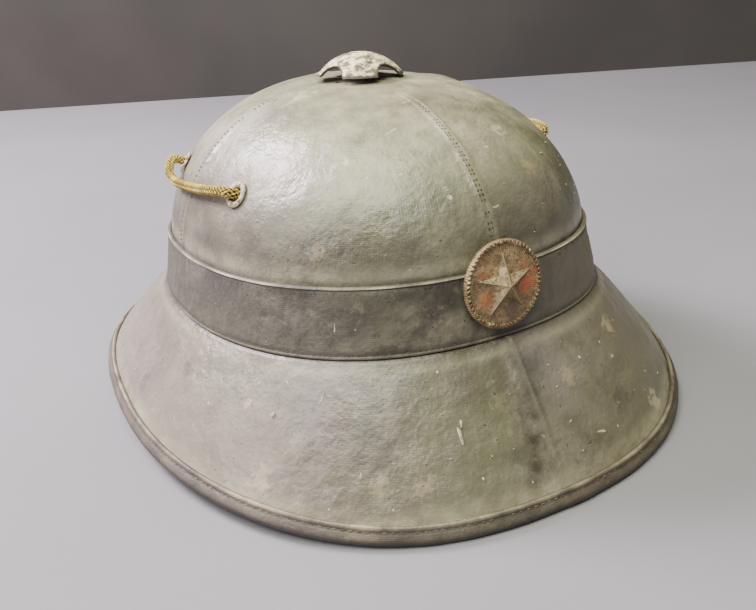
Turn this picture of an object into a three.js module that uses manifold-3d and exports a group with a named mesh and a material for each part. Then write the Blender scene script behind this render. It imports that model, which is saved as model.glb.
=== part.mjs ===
// A stiff cloth-covered sun helmet that rests on its brim.
// Millimetres, +Z up, the wearer looks along -Y, and the rim stands on z = 0.
import * as THREE from 'three';
import { mergeVertices } from 'three/addons/utils/BufferGeometryUtils.js';
import Module from 'manifold-3d';

const wasm = await Module();
wasm.setup();

// Clearance between two pieces that touch on the real helmet
const gap = 0.3;

// Rim of the brim: half sizes in plan of the roll's outermost line, roundness, and how far its
// sides stand above front and back
const rimHalfWidth = 128.8;
const rimHalfLength = 154.6;
const rimRoundness = 2.29;
const rimSideRise = 5.8;
const rimFlatShare = 0.3;

// Foot of the crown, where the band's lower edge lies on the brim
const footHalfWidth = 94.3;
const footHalfLength = 115.8;
const footRoundness = 2.3;
const footHeight = 46.4;

// Top edge of the band, measured on the band's outer face
const bandTopHalfWidth = 89.4;
const bandTopHalfLength = 111.9;
const bandTopRoundness = 2.24;
const bandTopHeight = 73.3;

// Dome of the crown above the band
const apexHeight = 136.3;
const apexSetForward = 6.6;
const domeShoulder = 2.7;
const domeFlatness = 1.75;
const forwardLift = 0.065;

// Walls
const crownWall = 3;
const brimWall = 2.6;
const brimSwell = 1.3;
const neckWall = 2.4;
const neckShare = 0.43;
const bandCloth = 1.3;
const bandBead = 0.5;
const bandBeadHeight = 2.2;
const tapeCloth = 1;
const tapeWidth = 4.6;
const tapeBead = 0.5;
const tapeBeadWidth = 1.8;
const rollFlatTurn = 25;

// Raised seams between the four panels of the crown and the two halves of the brim
const seamWidth = 4;
const seamRise = 0.8;

// Ventilator on the apex
const capRadius = 19.3;
const capHeight = 11;
const capWall = 1.1;
const capTurn = -26;
const capLean = 3.5;
const capLeanToward = 37;
const archWidth = 15;
const archHeight = 4.7;
const capCollarRadius = 4.5;
const ventPostRadius = 2.5;
const ventHeadRadius = 9;
const ventHeadThickness = 1.6;
const ventHoleRadius = 2;
const ventHoleCircle = 12.5;

// Badge on the band's front
const badgeRadius = 16.75;
const badgeBorder = 2.2;
const badgeBorderHeight = 2.6;
const badgeFieldEdge = 1.6;
const badgeFieldRise = 2.4;
const badgeSeatShare = 0.78;
const starRadius = 11.8;
const starWaistShare = 0.42;
const starRise = 2.2;
const badgePostRadius = 1.5;
const badgePostHeadRadius = 6;
const badgePostHeadThickness = 1.2;

// Eyelets and the chin cord
const eyeletOuterRadius = 5.4;
const eyeletBoreRadius = 3;
const eyeletBarrelWall = 0.8;
const eyeletFlange = 0.9;
const eyeletSpread = 27.5;
const eyeletRiseShare = 0.48;
const cordRadius = 2.1;
const knotRadius = 4.6;
const knotLength = 7.5;

// How finely the round shapes are divided
const stationCount = 48;
const cordStep = 10.5;
const cordSides = 8;

const radians = (degrees) => (degrees * Math.PI) / 180;
const frontAngle = radians(-90);
const seamAngles = [radians(-90), 0, radians(90), radians(180)];
const brimSeamAngles = [radians(-90), radians(90)];

const material = (color, roughness, metalness) =>
  new THREE.MeshStandardMaterial({ color, roughness, metalness });
const finishes = {
  crown: material(0x716b5c, 0.85, 0),
  brim: material(0x6a6355, 0.85, 0),
  binding: material(0x6b604c, 0.8, 0),
  band: material(0x514a3f, 0.85, 0),
  badge: material(0x8a6a52, 0.45, 0.8),
  cap: material(0xb5b3a4, 0.6, 0.4),
  eyelet: material(0xc4bda6, 0.5, 0.5),
  hidden: material(0x8f8a80, 0.5, 0.8),
  cord: material(0x9a8348, 0.9, 0),
};

// Plan radius of a rounded oval at an angle from +X
function ovalRadius(angle, halfWidth, halfLength, roundness) {
  const across = (Math.abs(Math.cos(angle)) / halfWidth) ** roundness;
  const along = (Math.abs(Math.sin(angle)) / halfLength) ** roundness;
  return (across + along) ** (-1 / roundness);
}

const footRadius = (angle) => ovalRadius(angle, footHalfWidth, footHalfLength, footRoundness);
const bandTopRadius = (angle) =>
  ovalRadius(angle, bandTopHalfWidth, bandTopHalfLength, bandTopRoundness);
const lift = (angle, radius) => -forwardLift * radius * Math.sin(angle);
const footZ = (angle) => footHeight + lift(angle, footRadius(angle));
const bandTopZ = (angle) => bandTopHeight + lift(angle, bandTopRadius(angle));

// A point of the straight wall between foot and band top, set inward by a distance square to it
function wallPoint(angle, height, inset) {
  const run = bandTopRadius(angle) - footRadius(angle);
  const rise = bandTopZ(angle) - footZ(angle);
  const share = (height - footZ(angle)) / rise;
  const radius = footRadius(angle) + run * share - inset * Math.hypot(1, run / rise);
  return [radius, height];
}

const atAngle = (angle, [radius, height]) => [
  radius * Math.cos(angle),
  radius * Math.sin(angle),
  height,
];

// Station angles round the helmet, with two extra ones beside each seam
function stations(seams) {
  const angles = [];
  for (let index = 0; index < stationCount; index += 1) {
    angles.push((index * 2 * Math.PI) / stationCount - Math.PI + (2 * Math.PI) / stationCount);
  }
  const halfSeam = seamWidth / 2 / footHalfWidth;
  for (const seam of seams) {
    angles.push(seam - halfSeam);
    angles.push(seam === Math.PI ? seam + halfSeam - 2 * Math.PI : seam + halfSeam);
  }
  return angles.sort((first, second) => first - second);
}

const onSeam = (angle, seams) => seams.some((seam) => Math.abs(seam - angle) < 1e-6);

// Turns an indexed geometry round when its faces look inward
function facingOut(geometry) {
  const position = geometry.getAttribute('position');
  const index = geometry.getIndex().array;
  const [a, b, c] = [new THREE.Vector3(), new THREE.Vector3(), new THREE.Vector3()];
  let volume = 0;
  for (let corner = 0; corner < index.length; corner += 3) {
    a.fromBufferAttribute(position, index[corner]);
    b.fromBufferAttribute(position, index[corner + 1]);
    c.fromBufferAttribute(position, index[corner + 2]);
    volume += a.dot(b.cross(c));
  }
  if (volume < 0) {
    geometry.setIndex(Array.from(index).reverse());
  }
  return geometry;
}

// Closed ring made of one closed section for each station
function ringLoft(sections) {
  const count = sections.length;
  const rows = sections[0].length;
  const index = [];
  for (let station = 0; station < count; station += 1) {
    const next = (station + 1) % count;
    for (let row = 0; row < rows; row += 1) {
      const after = (row + 1) % rows;
      const corners = [
        station * rows + row,
        next * rows + row,
        next * rows + after,
        station * rows + after,
      ];
      index.push(corners[0], corners[1], corners[2], corners[0], corners[2], corners[3]);
    }
  }
  const geometry = new THREE.BufferGeometry();
  geometry.setAttribute('position', new THREE.Float32BufferAttribute(sections.flat(2), 3));
  geometry.setIndex(index);
  return facingOut(geometry);
}

function toSolid(geometry) {
  const bare = geometry.clone();
  bare.deleteAttribute('normal');
  bare.deleteAttribute('uv');
  const merged = mergeVertices(bare, 1e-4);
  const mesh = new wasm.Mesh({
    numProp: 3,
    vertProperties: new Float32Array(merged.getAttribute('position').array),
    triVerts: new Uint32Array(merged.getIndex().array),
  });
  return new wasm.Manifold(mesh);
}

function toGeometry(solid) {
  const mesh = solid.getMesh();
  const geometry = new THREE.BufferGeometry();
  geometry.setAttribute('position', new THREE.Float32BufferAttribute(mesh.vertProperties, 3));
  geometry.setIndex(Array.from(mesh.triVerts));
  return geometry;
}

// Cuts each tool out of a geometry
function cut(geometry, tools) {
  const solid = tools.reduce((rest, tool) => rest.subtract(toSolid(tool)), toSolid(geometry));
  return toGeometry(solid);
}

// Solid of revolution about the local axis, from a closed list of [radius, along] pairs
function turned(profile, segments) {
  const points = profile.map(([radius, along]) => new THREE.Vector2(radius, along));
  points.push(points[0].clone());
  const geometry = new THREE.LatheGeometry(points, segments);
  geometry.rotateX(Math.PI / 2);
  geometry.deleteAttribute('normal');
  geometry.deleteAttribute('uv');
  const merged = mergeVertices(geometry, 1e-4);
  const position = merged.getAttribute('position');
  const index = merged.getIndex().array;
  const kept = [];
  for (let corner = 0; corner < index.length; corner += 3) {
    const [a, b, c] = [index[corner], index[corner + 1], index[corner + 2]];
    if (a !== b && b !== c && a !== c) {
      kept.push(a, b, c);
    }
  }
  const clean = new THREE.BufferGeometry();
  clean.setAttribute('position', position);
  clean.setIndex(kept);
  return facingOut(clean);
}

// Moves a geometry whose axis is +Z to a seat given by a point and an outward normal
function seated(geometry, { point, normal }) {
  const turn = new THREE.Quaternion().setFromUnitVectors(new THREE.Vector3(0, 0, 1), normal);
  return geometry.applyQuaternion(turn).translate(point.x, point.y, point.z);
}

// Outer skin of the crown: share 0 to 1 climbs the dome, and -1 to 0 the wall under the band
function crownSkin(angle, share) {
  const inset = bandCloth + gap;
  if (share <= 0) {
    const low = footZ(angle) + gap;
    const height = bandTopZ(angle) + share * (bandTopZ(angle) - low);
    return new THREE.Vector3(...atAngle(angle, wallPoint(angle, height, inset)));
  }
  const narrowing = (1 - share ** domeFlatness) ** (1 / domeShoulder);
  const roundness = bandTopRoundness + (2 - bandTopRoundness) * share;
  const startInset = bandTopRadius(angle) - wallPoint(angle, bandTopZ(angle), inset)[0];
  const halfWidth = (bandTopHalfWidth - startInset) * narrowing;
  const halfLength = (bandTopHalfLength - startInset) * narrowing;
  const radius = ovalRadius(angle, halfWidth, halfLength, roundness);
  const climb = (apexHeight - bandTopHeight) * share;
  return new THREE.Vector3(
    radius * Math.cos(angle),
    radius * Math.sin(angle) - apexSetForward * share,
    bandTopHeight + climb + lift(angle, radius) * (1 - share),
  );
}

// Outward normal of the crown's skin
function crownNormal(angle, share) {
  const step = 0.002;
  const low = share <= 0 ? Math.min(share, -step) - step : Math.max(share, 2 * step) - step;
  const middle = low + step;
  const around = crownSkin(angle + step, middle).sub(crownSkin(angle - step, middle));
  const climb = crownSkin(angle, middle + step / 2).sub(crownSkin(angle, middle - step / 2));
  return around.cross(climb).normalize();
}

function crownSeat(angle, share) {
  return { point: crownSkin(angle, share), normal: crownNormal(angle, share) };
}

// Shares at which the crown has a row of points, from the foot to the edge of the post's hole
const crownRows = [
  { share: -1, seam: 0 },
  { share: 0, seam: 0 },
  { share: 0.09, seam: 0.9 },
  { share: 0.21, seam: 1 },
  { share: 0.35, seam: 1 },
  { share: 0.5, seam: 1 },
  { share: 0.64, seam: 1 },
  { share: 0.76, seam: 1 },
  { share: 0.86, seam: 1 },
  { share: 0.93, seam: 0.8 },
  { share: 0.975, seam: 0.4 },
  { share: 0.996, seam: 0 },
];

const postHoleRadius = ventPostRadius + gap;
const crownTopAxis = new THREE.Vector3(0, -apexSetForward, apexHeight);

function ringPoint(angle, radius, z) {
  return [
    crownTopAxis.x + radius * Math.cos(angle),
    crownTopAxis.y + radius * Math.sin(angle),
    z,
  ];
}

function makeCrown(holes) {
  const sections = stations(seamAngles).map((angle) => {
    const raised = onSeam(angle, seamAngles) ? seamRise : 0;
    const outer = [];
    const inner = [];
    for (const row of crownRows) {
      const { point, normal } = crownSeat(angle, row.share);
      outer.push(point.clone().addScaledVector(normal, raised * row.seam).toArray());
      inner.push(point.clone().addScaledVector(normal, -crownWall).toArray());
    }
    inner[0] = atAngle(angle, wallPoint(angle, outer[0][2], bandCloth + gap + crownWall));
    outer.push(ringPoint(angle, postHoleRadius, apexHeight));
    inner.push(ringPoint(angle, postHoleRadius, apexHeight - crownWall));
    return [...outer, ...inner.reverse()];
  });
  return cut(ringLoft(sections), holes);
}

// Height of the rim: flat at front and back, higher at the sides
function rimZ(angle) {
  const sideways = Math.abs(Math.cos(angle));
  const share = THREE.MathUtils.clamp((sideways - rimFlatShare) / (1 - rimFlatShare), 0, 1);
  return rimSideRise * share * share * (3 - 2 * share);
}

// Local frame at the brim's edge: centre of the rolled edge, way down the slope, way out of it
function rimFrame(angle) {
  const rollRadius = brimWall / 2 + gap + tapeCloth;
  const lowest = rollRadius * Math.cos(radians(rollFlatTurn));
  const centre = new THREE.Vector2(
    ovalRadius(angle, rimHalfWidth, rimHalfLength, rimRoundness) - rollRadius,
    rimZ(angle) + lowest,
  );
  const foot = new THREE.Vector2(footRadius(angle), footZ(angle));
  const down = centre.clone().sub(foot).normalize();
  const out = new THREE.Vector2(-down.y, down.x);
  return { centre, down, out, rollRadius, lowest };
}

function rimPoint(frame, along, off) {
  const point = frame.centre.clone();
  point.addScaledVector(frame.down, along).addScaledVector(frame.out, off);
  return [point.x, point.y];
}

function makeBrim() {
  const half = brimWall / 2;
  const sections = stations(brimSeamAngles).map((angle) => {
    const frame = rimFrame(angle);
    const seam = onSeam(angle, brimSeamAngles) ? seamRise : 0;
    const low = footZ(angle);
    const neckTop = low + neckShare * (bandTopZ(angle) - low);
    const neckInset = bandCloth + gap + crownWall + gap;
    const start = [footRadius(angle) + bandCloth / 2, low];
    const end = rimPoint(frame, -tapeWidth - gap, half);
    const slope = (share, off) => {
      const swell = brimSwell * 4 * share * (1 - share) + off;
      return [
        start[0] + (end[0] - start[0]) * share + frame.out.x * swell,
        start[1] + (end[1] - start[1]) * share + frame.out.y * swell,
      ];
    };
    const section = [
      wallPoint(angle, neckTop, neckInset),
      wallPoint(angle, low, neckInset),
      start,
      slope(0.25, seam),
      slope(0.6, seam),
      end,
      rimPoint(frame, -gap, half),
      rimPoint(frame, -gap, -half),
      rimPoint(frame, -tapeWidth - gap, -half),
      slope(0.6, -brimWall),
      slope(0.25, -brimWall),
      wallPoint(angle, low - brimWall, neckInset + neckWall),
      wallPoint(angle, neckTop, neckInset + neckWall),
    ];
    return section.map((pair) => atAngle(angle, pair));
  });
  return ringLoft(sections);
}

// Tape folded over the rim, with a ridge along its upper edge and a flat under the roll
function makeBinding() {
  const sections = stations([]).map((angle) => {
    const frame = rimFrame(angle);
    const outer = frame.rollRadius;
    const inner = brimWall / 2 + gap;
    const flat = outer * Math.sin(radians(rollFlatTurn));
    const floorZ = frame.centre.y - frame.lowest;
    const roll = (turn, radius) =>
      rimPoint(frame, radius * Math.sin(radians(turn)), radius * Math.cos(radians(turn)));
    const section = [
      rimPoint(frame, -tapeWidth, inner),
      rimPoint(frame, -tapeWidth, outer),
      rimPoint(frame, -tapeWidth + tapeBeadWidth / 2, outer + tapeBead),
      rimPoint(frame, -tapeWidth + tapeBeadWidth, outer),
      roll(0, outer),
      roll(50, outer),
      [frame.centre.x + flat, floorZ],
      [frame.centre.x - flat, floorZ],
      roll(180, outer),
      rimPoint(frame, -tapeWidth + tapeBead, -outer),
      rimPoint(frame, -tapeWidth + tapeBead, -inner),
      roll(180, inner),
      roll(90, inner * 1.1),
      roll(0, inner),
    ];
    return section.map((pair) => atAngle(angle, pair));
  });
  return ringLoft(sections);
}

function makeBand(hole) {
  const sections = stations([]).map((angle) => {
    const low = footZ(angle) + gap;
    const top = bandTopZ(angle);
    const section = [
      wallPoint(angle, low, bandCloth),
      wallPoint(angle, low, -bandBead / 2),
      wallPoint(angle, low + bandBeadHeight / 2, -bandBead / 2),
      wallPoint(angle, low + bandBeadHeight, 0),
      wallPoint(angle, top - bandBeadHeight, 0),
      wallPoint(angle, top - bandBeadHeight / 2, -bandBead),
      wallPoint(angle, top, -bandBead),
      wallPoint(angle, top + bandCloth / 2, bandCloth / 2),
      wallPoint(angle, top, bandCloth),
    ];
    return section.map((pair) => atAngle(angle, pair));
  });
  return cut(ringLoft(sections), [hole]);
}

// Seat of the badge: on the band's outer face at the front, square to the band's slope
function badgeSeat() {
  const height = footZ(frontAngle) + badgeSeatShare * (bandTopZ(frontAngle) - footZ(frontAngle));
  const point = new THREE.Vector3(...atAngle(frontAngle, wallPoint(frontAngle, height, 0)));
  const run = bandTopRadius(frontAngle) - footRadius(frontAngle);
  const rise = bandTopZ(frontAngle) - footZ(frontAngle);
  const normal = new THREE.Vector3(0, -rise, -run).normalize();
  return { point, normal };
}

const badgeStandOff = bandBead + gap;

// Raised five-pointed star whose edges sink into the badge's field
function makeStar(base) {
  const positions = [];
  const field = base - badgeFieldRise - badgeFieldEdge / 2;
  for (let corner = 0; corner < 10; corner += 1) {
    const angle = radians(90 + corner * 36);
    const radius = corner % 2 === 0 ? starRadius : starRadius * starWaistShare;
    const level = corner % 2 === 0 ? starRise * 0.5 : starRise * 0.2;
    const bow = badgeFieldRise * (1 - (radius / (badgeRadius - badgeBorder)) ** 2);
    positions.push([radius * Math.cos(angle), radius * Math.sin(angle), field]);
    positions.push([
      radius * Math.cos(angle),
      radius * Math.sin(angle),
      base - badgeFieldRise + bow + (corner % 2 === 0 ? level / 3 : -level),
    ]);
  }
  positions.push([0, 0, field], [0, 0, base + starRise]);
  const index = [];
  for (let corner = 0; corner < 10; corner += 1) {
    const here = corner * 2;
    const next = ((corner + 1) % 10) * 2;
    index.push(here, next, next + 1, here, next + 1, here + 1);
    index.push(20, next, here, 21, here + 1, next + 1);
  }
  const geometry = new THREE.BufferGeometry();
  geometry.setAttribute('position', new THREE.Float32BufferAttribute(positions.flat(), 3));
  geometry.setIndex(index);
  return facingOut(geometry);
}

function makeBadge() {
  const fieldRadius = badgeRadius - badgeBorder;
  const top = badgeFieldEdge + badgeFieldRise;
  const profile = [
    [0, 0],
    [badgeRadius - 0.5, 0],
    [badgeRadius, 0.8],
    [badgeRadius - 0.3, badgeBorderHeight - 0.4],
    [badgeRadius - badgeBorder / 2, badgeBorderHeight],
    [fieldRadius, badgeFieldEdge],
    [fieldRadius * 0.66, badgeFieldEdge + badgeFieldRise * 0.56],
    [fieldRadius * 0.33, badgeFieldEdge + badgeFieldRise * 0.89],
    [0, top],
  ];
  const plate = toSolid(turned(profile, 30));
  const geometry = toGeometry(plate.add(toSolid(makeStar(top))));
  return geometry.translate(0, 0, badgeStandOff);
}

// Pin with a flat head inside the crown; its shank ends just behind the badge
function makeBadgePost() {
  const back = -(bandCloth + gap + crownWall + gap) - 0.5;
  const front = badgeStandOff - gap;
  return turned(
    [
      [0, front],
      [badgePostRadius, front],
      [badgePostRadius, back],
      [badgePostHeadRadius, back],
      [badgePostHeadRadius, back - badgePostHeadThickness],
      [0, back - badgePostHeadThickness],
    ],
    12,
  );
}

// Straight round cutter along a seat's normal
const cutter = (radius, reach, segments) =>
  turned([[0, -reach], [radius, -reach], [radius, reach], [0, reach]], segments);

// Heights of the crown's skin on a circle about the apex
function crownHeightsAt(radius) {
  const heights = [];
  for (let index = 0; index < 24; index += 1) {
    const angle = (index * Math.PI) / 12;
    let low = 0.5;
    let high = 1;
    for (let pass = 0; pass < 30; pass += 1) {
      const middle = (low + high) / 2;
      const point = crownSkin(angle, middle);
      const reach = Math.hypot(point.x - crownTopAxis.x, point.y - crownTopAxis.y);
      [low, high] = reach > radius ? [middle, high] : [low, middle];
    }
    heights.push(crownSkin(angle, low).z);
  }
  return heights;
}

// Domed ventilator with four arches cut into its skirt
function makeVentCap() {
  const leanDrop = capRadius * Math.sin(radians(capLean));
  const seatZ = Math.max(...crownHeightsAt(capRadius - capWall)) + gap + leanDrop;
  const topZ = apexHeight + capHeight;
  const rise = topZ - seatZ;
  const sphere = (capRadius ** 2 + rise ** 2) / (2 * rise);
  const outer = [];
  const inner = [];
  for (const share of [1, 0.85, 0.6, 0.3]) {
    const radius = capRadius * share;
    const height = Math.sqrt(sphere ** 2 - radius ** 2) - (sphere - rise);
    const lean = radius / sphere;
    outer.push([radius, height]);
    inner.push([radius - capWall * lean, height - capWall * Math.sqrt(1 - lean ** 2)]);
  }
  inner[0] = [capRadius - 1.4 * capWall, 0];
  outer.push([0, rise]);
  inner.push([0, rise - capWall]);
  const shell = turned([...outer, ...inner.reverse()], 24);
  const arches = [];
  for (let side = 0; side < 4; side += 1) {
    const shape = new THREE.Shape();
    shape.moveTo(-archWidth / 2, -2);
    for (let step = 0; step <= 8; step += 1) {
      const turn = Math.PI - (step * Math.PI) / 8;
      shape.lineTo((archWidth / 2) * Math.cos(turn), archHeight * Math.sin(turn));
    }
    shape.lineTo(archWidth / 2, -2);
    const depth = capRadius;
    const arch = new THREE.ExtrudeGeometry(shape, { depth, steps: 1, bevelEnabled: false });
    arch.rotateX(Math.PI / 2);
    arch.translate(0, -capRadius / 3, 0);
    arch.rotateZ(radians(capTurn + 45 + 90 * side));
    arches.push(arch);
  }
  const hinge = new THREE.Vector3(
    -Math.sin(radians(capLeanToward)),
    Math.cos(radians(capLeanToward)),
    0,
  );
  const lean = new THREE.Quaternion().setFromAxisAngle(hinge, radians(capLean));
  const geometry = cut(shell, arches).applyQuaternion(lean);
  return { geometry: geometry.translate(crownTopAxis.x, crownTopAxis.y, seatZ), topZ };
}

// Rivet through the apex with a washer head inside the crown
function makeVentPost(capTopZ) {
  const inside = Math.min(...crownHeightsAt(ventHeadRadius)) - crownWall - gap;
  const collar = apexHeight + gap;
  const top = capTopZ - capWall - 3 * gap;
  const profile = [
    [0, top],
    [ventPostRadius * 0.6, top],
    [ventPostRadius, top - 1],
    [ventPostRadius + 1.2, collar + 1.5],
    [capCollarRadius, collar],
    [ventPostRadius, collar],
    [ventPostRadius, inside],
    [ventHeadRadius, inside],
    [ventHeadRadius, inside - ventHeadThickness],
    [0, inside - ventHeadThickness],
  ];
  return turned(profile, 16).translate(crownTopAxis.x, crownTopAxis.y, 0);
}

// Eyelet clenched through the crown: flange outside, barrel, rolled flange inside
function makeEyelet() {
  const barrel = eyeletBoreRadius + eyeletBarrelWall;
  const inside = -crownWall - gap - 0.25;
  const profile = [
    [eyeletBoreRadius, inside - eyeletFlange],
    [eyeletOuterRadius - 0.4, inside - eyeletFlange],
    [eyeletOuterRadius - 0.4, inside],
    [barrel, inside],
    [barrel, gap],
    [eyeletOuterRadius, gap],
    [eyeletOuterRadius - 0.4, gap + eyeletFlange],
    [eyeletBoreRadius + 0.4, gap + eyeletFlange],
    [eyeletBoreRadius, gap + eyeletFlange / 2],
  ];
  return turned(profile, 12);
}

// Eyelets, one row for each
const eyelets = [
  { name: 'eyelet_right_front', angle: -180 + eyeletSpread },
  { name: 'eyelet_right_rear', angle: 180 - eyeletSpread },
  { name: 'eyelet_left_front', angle: -eyeletSpread },
  { name: 'eyelet_left_rear', angle: eyeletSpread },
].map((row) => ({ name: row.name, seat: crownSeat(radians(row.angle), eyeletRiseShare) }));
const seatOf = (name) => eyelets.find((eyelet) => eyelet.name === name).seat;

const knotFace = -crownWall - gap - 0.25 - eyeletFlange - gap;

// Stopper knot drawn up against the inside of a rear eyelet
function makeKnot() {
  const middle = knotFace - knotLength / 2;
  const profile = [
    [0, knotFace],
    [knotRadius * 0.75, knotFace],
    [knotRadius, middle + knotLength * 0.2],
    [knotRadius, middle - knotLength * 0.2],
    [knotRadius * 0.6, knotFace - knotLength],
    [0, knotFace - knotLength],
  ];
  return turned(profile, 12);
}

// Route of the chin cord from the right rear knot to the left one, in millimetres: out, across
// the crown, in again, down, round on the surface inside the rim, and the same way up
const cordRoute = [
  [-69.3, 33.6, 99.8],
  [-73.6, 35, 102.9],
  [-77.2, 34.9, 104.6],
  [-80.6, 31.9, 104.5],
  [-83.4, 24.5, 101.6],
  [-83.8, 14, 100.3],
  [-83.6, 0, 101.5],
  [-81.5, -20, 103.9],
  [-77.8, -36.5, 106.2],
  [-75.5, -40.7, 106.2],
  [-73.2, -41.2, 105.1],
  [-69.2, -40, 102.2],
  [-66.3, -39.2, 98.6],
  [-65.6, -38.9, 88],
  [-65.3, -38.7, 52],
  [-65.5, -38, 17],
  [-66.3, -32, 4.2],
  [-67.5, -16, 2.4],
  [-66, 24, 2.4],
  [-45, 71, 2.4],
  [0, 91, 2.4],
  [45, 71, 2.4],
  [66, 24, 2.4],
  [67.5, -16, 2.4],
  [66.3, -32, 4.2],
  [65.5, -38, 17],
  [65.3, -38.7, 52],
  [65.6, -38.9, 88],
  [66.3, -39.2, 98.6],
  [69.2, -40, 102.2],
  [73.2, -41.2, 105.1],
  [75.6, -40.6, 106.6],
  [77.3, -36.4, 107.9],
  [79.9, -20, 107],
  [81.6, 0, 105.8],
  [81.3, 15, 105.6],
  [78.9, 30.4, 106.3],
  [76.7, 34.2, 104.9],
  [73.6, 35, 102.9],
  [69.3, 33.6, 99.8],
];

// Follows a smooth curve with one step on each short span and even steps on the long ones
class CordRoute extends THREE.Curve {
  constructor(points) {
    super();
    this.smooth = new THREE.CatmullRomCurve3(points, false, 'centripetal');
    this.stops = [0];
    const spans = points.length - 1;
    for (let span = 0; span < spans; span += 1) {
      const parts = Math.ceil(points[span].distanceTo(points[span + 1]) / cordStep);
      for (let part = 1; part <= parts; part += 1) {
        this.stops.push((span + part / parts) / spans);
      }
    }
  }

  get steps() {
    return this.stops.length - 1;
  }

  getPointAt(share, target) {
    return this.smooth.getPoint(this.stops[Math.round(share * this.steps)], target);
  }

  getTangentAt(share, target) {
    return this.smooth.getTangent(this.stops[Math.round(share * this.steps)], target);
  }
}

function makeChinCord() {
  const route = new CordRoute(cordRoute.map((point) => new THREE.Vector3(...point)));
  const section = new THREE.Shape();
  for (let side = 0; side < cordSides; side += 1) {
    const turn = (2 * Math.PI * side) / cordSides;
    const corner = [cordRadius * Math.cos(turn), cordRadius * Math.sin(turn)];
    if (side === 0) {
      section.moveTo(...corner);
    } else {
      section.lineTo(...corner);
    }
  }
  section.closePath();
  return new THREE.ExtrudeGeometry(section, { steps: route.steps, extrudePath: route });
}

const helmet = new THREE.Group();
function add(name, geometry, finish) {
  geometry.computeVertexNormals();
  const mesh = new THREE.Mesh(geometry, finish);
  mesh.name = name;
  helmet.add(mesh);
}

const badgePlace = badgeSeat();
const badgeHole = () => seated(cutter(badgePostRadius + gap, 12, 16), badgePlace);
const crownHoles = [badgeHole()];
for (const { seat } of eyelets) {
  const hole = cutter(eyeletBoreRadius + eyeletBarrelWall + gap, 8, 12);
  crownHoles.push(seated(hole, seat));
}
for (let side = 0; side < 4; side += 1) {
  const turn = radians(capTurn + 45 + 90 * side);
  const hole = cutter(ventHoleRadius, 8, 12);
  crownHoles.push(hole.translate(...ringPoint(turn, ventHoleCircle, apexHeight)));
}

add('crown', makeCrown(crownHoles), finishes.crown);
add('brim', makeBrim(), finishes.brim);
add('brim_binding', makeBinding(), finishes.binding);
add('band', makeBand(badgeHole()), finishes.band);
add('badge', seated(makeBadge(), badgePlace), finishes.badge);
add('badge_post', seated(makeBadgePost(), badgePlace), finishes.hidden);
const ventCap = makeVentCap();
add('vent_cap', ventCap.geometry, finishes.cap);
add('vent_post', makeVentPost(ventCap.topZ), finishes.hidden);
for (const { name, seat } of eyelets) {
  add(name, seated(makeEyelet(), seat), finishes.eyelet);
}
add('chin_cord', makeChinCord(), finishes.cord);
add('cord_knot_right', seated(makeKnot(), seatOf('eyelet_right_rear')), finishes.cord);
add('cord_knot_left', seated(makeKnot(), seatOf('eyelet_left_rear')), finishes.cord);

export default helmet;
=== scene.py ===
import math
from collections import namedtuple

import bpy
import numpy as np
from mathutils import Matrix, Quaternion, Vector, noise


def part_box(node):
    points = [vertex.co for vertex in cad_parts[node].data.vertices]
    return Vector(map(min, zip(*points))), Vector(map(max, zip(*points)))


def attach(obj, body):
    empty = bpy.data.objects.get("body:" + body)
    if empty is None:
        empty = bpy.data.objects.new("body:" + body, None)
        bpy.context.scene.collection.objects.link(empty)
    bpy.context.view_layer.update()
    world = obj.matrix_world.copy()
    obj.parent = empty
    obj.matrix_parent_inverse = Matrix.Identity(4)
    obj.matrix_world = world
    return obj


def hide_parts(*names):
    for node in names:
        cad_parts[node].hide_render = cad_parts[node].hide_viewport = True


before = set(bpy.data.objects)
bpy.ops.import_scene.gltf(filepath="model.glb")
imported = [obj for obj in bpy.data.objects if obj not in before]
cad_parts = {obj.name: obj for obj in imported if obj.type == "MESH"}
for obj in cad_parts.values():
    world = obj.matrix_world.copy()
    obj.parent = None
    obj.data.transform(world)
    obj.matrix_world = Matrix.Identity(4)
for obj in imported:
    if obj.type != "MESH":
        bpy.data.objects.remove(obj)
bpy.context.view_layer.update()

MM = 0.001
GAP = 0.3 * MM

# Forms, the same as the solids have
RIM = dict(half_width=128.8 * MM, half_length=154.6 * MM, roundness=2.29)
RIM_SIDE_RISE = 5.8 * MM
RIM_FLAT_SHARE = 0.3
FOOT = dict(half_width=94.3 * MM, half_length=115.8 * MM, roundness=2.3)
FOOT_HEIGHT = 46.4 * MM
BAND_TOP = dict(half_width=89.4 * MM, half_length=111.9 * MM, roundness=2.24)
BAND_TOP_HEIGHT = 73.3 * MM
APEX_HEIGHT = 136.3 * MM
APEX_SET_FORWARD = 6.6 * MM
DOME_SHOULDER = 2.7
DOME_FLATNESS = 1.75
FORWARD_LIFT = 0.065
CROWN_WALL = 3 * MM
BRIM_WALL = 2.6 * MM
BRIM_SWELL = 1.3 * MM
NECK_WALL = 2.4 * MM
NECK_SHARE = 0.43
BAND_CLOTH = 1.3 * MM
BAND_BEAD = 0.5 * MM
TAPE_CLOTH = 1 * MM
TAPE_WIDTH = 4.6 * MM
TAPE_BEAD = 0.5 * MM
ROLL_FLAT_TURN = math.radians(25)
ROLL_RADIUS = BRIM_WALL / 2 + GAP + TAPE_CLOTH

CAP_RADIUS = 19.3 * MM
CAP_HEIGHT = 11 * MM
CAP_WALL = 1.1 * MM
CAP_TURN = math.radians(-26)
CAP_LEAN = math.radians(3.5)
CAP_LEAN_TOWARD = math.radians(37)
ARCH_WIDTH = 15 * MM
ARCH_HEIGHT = 4.7 * MM

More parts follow.
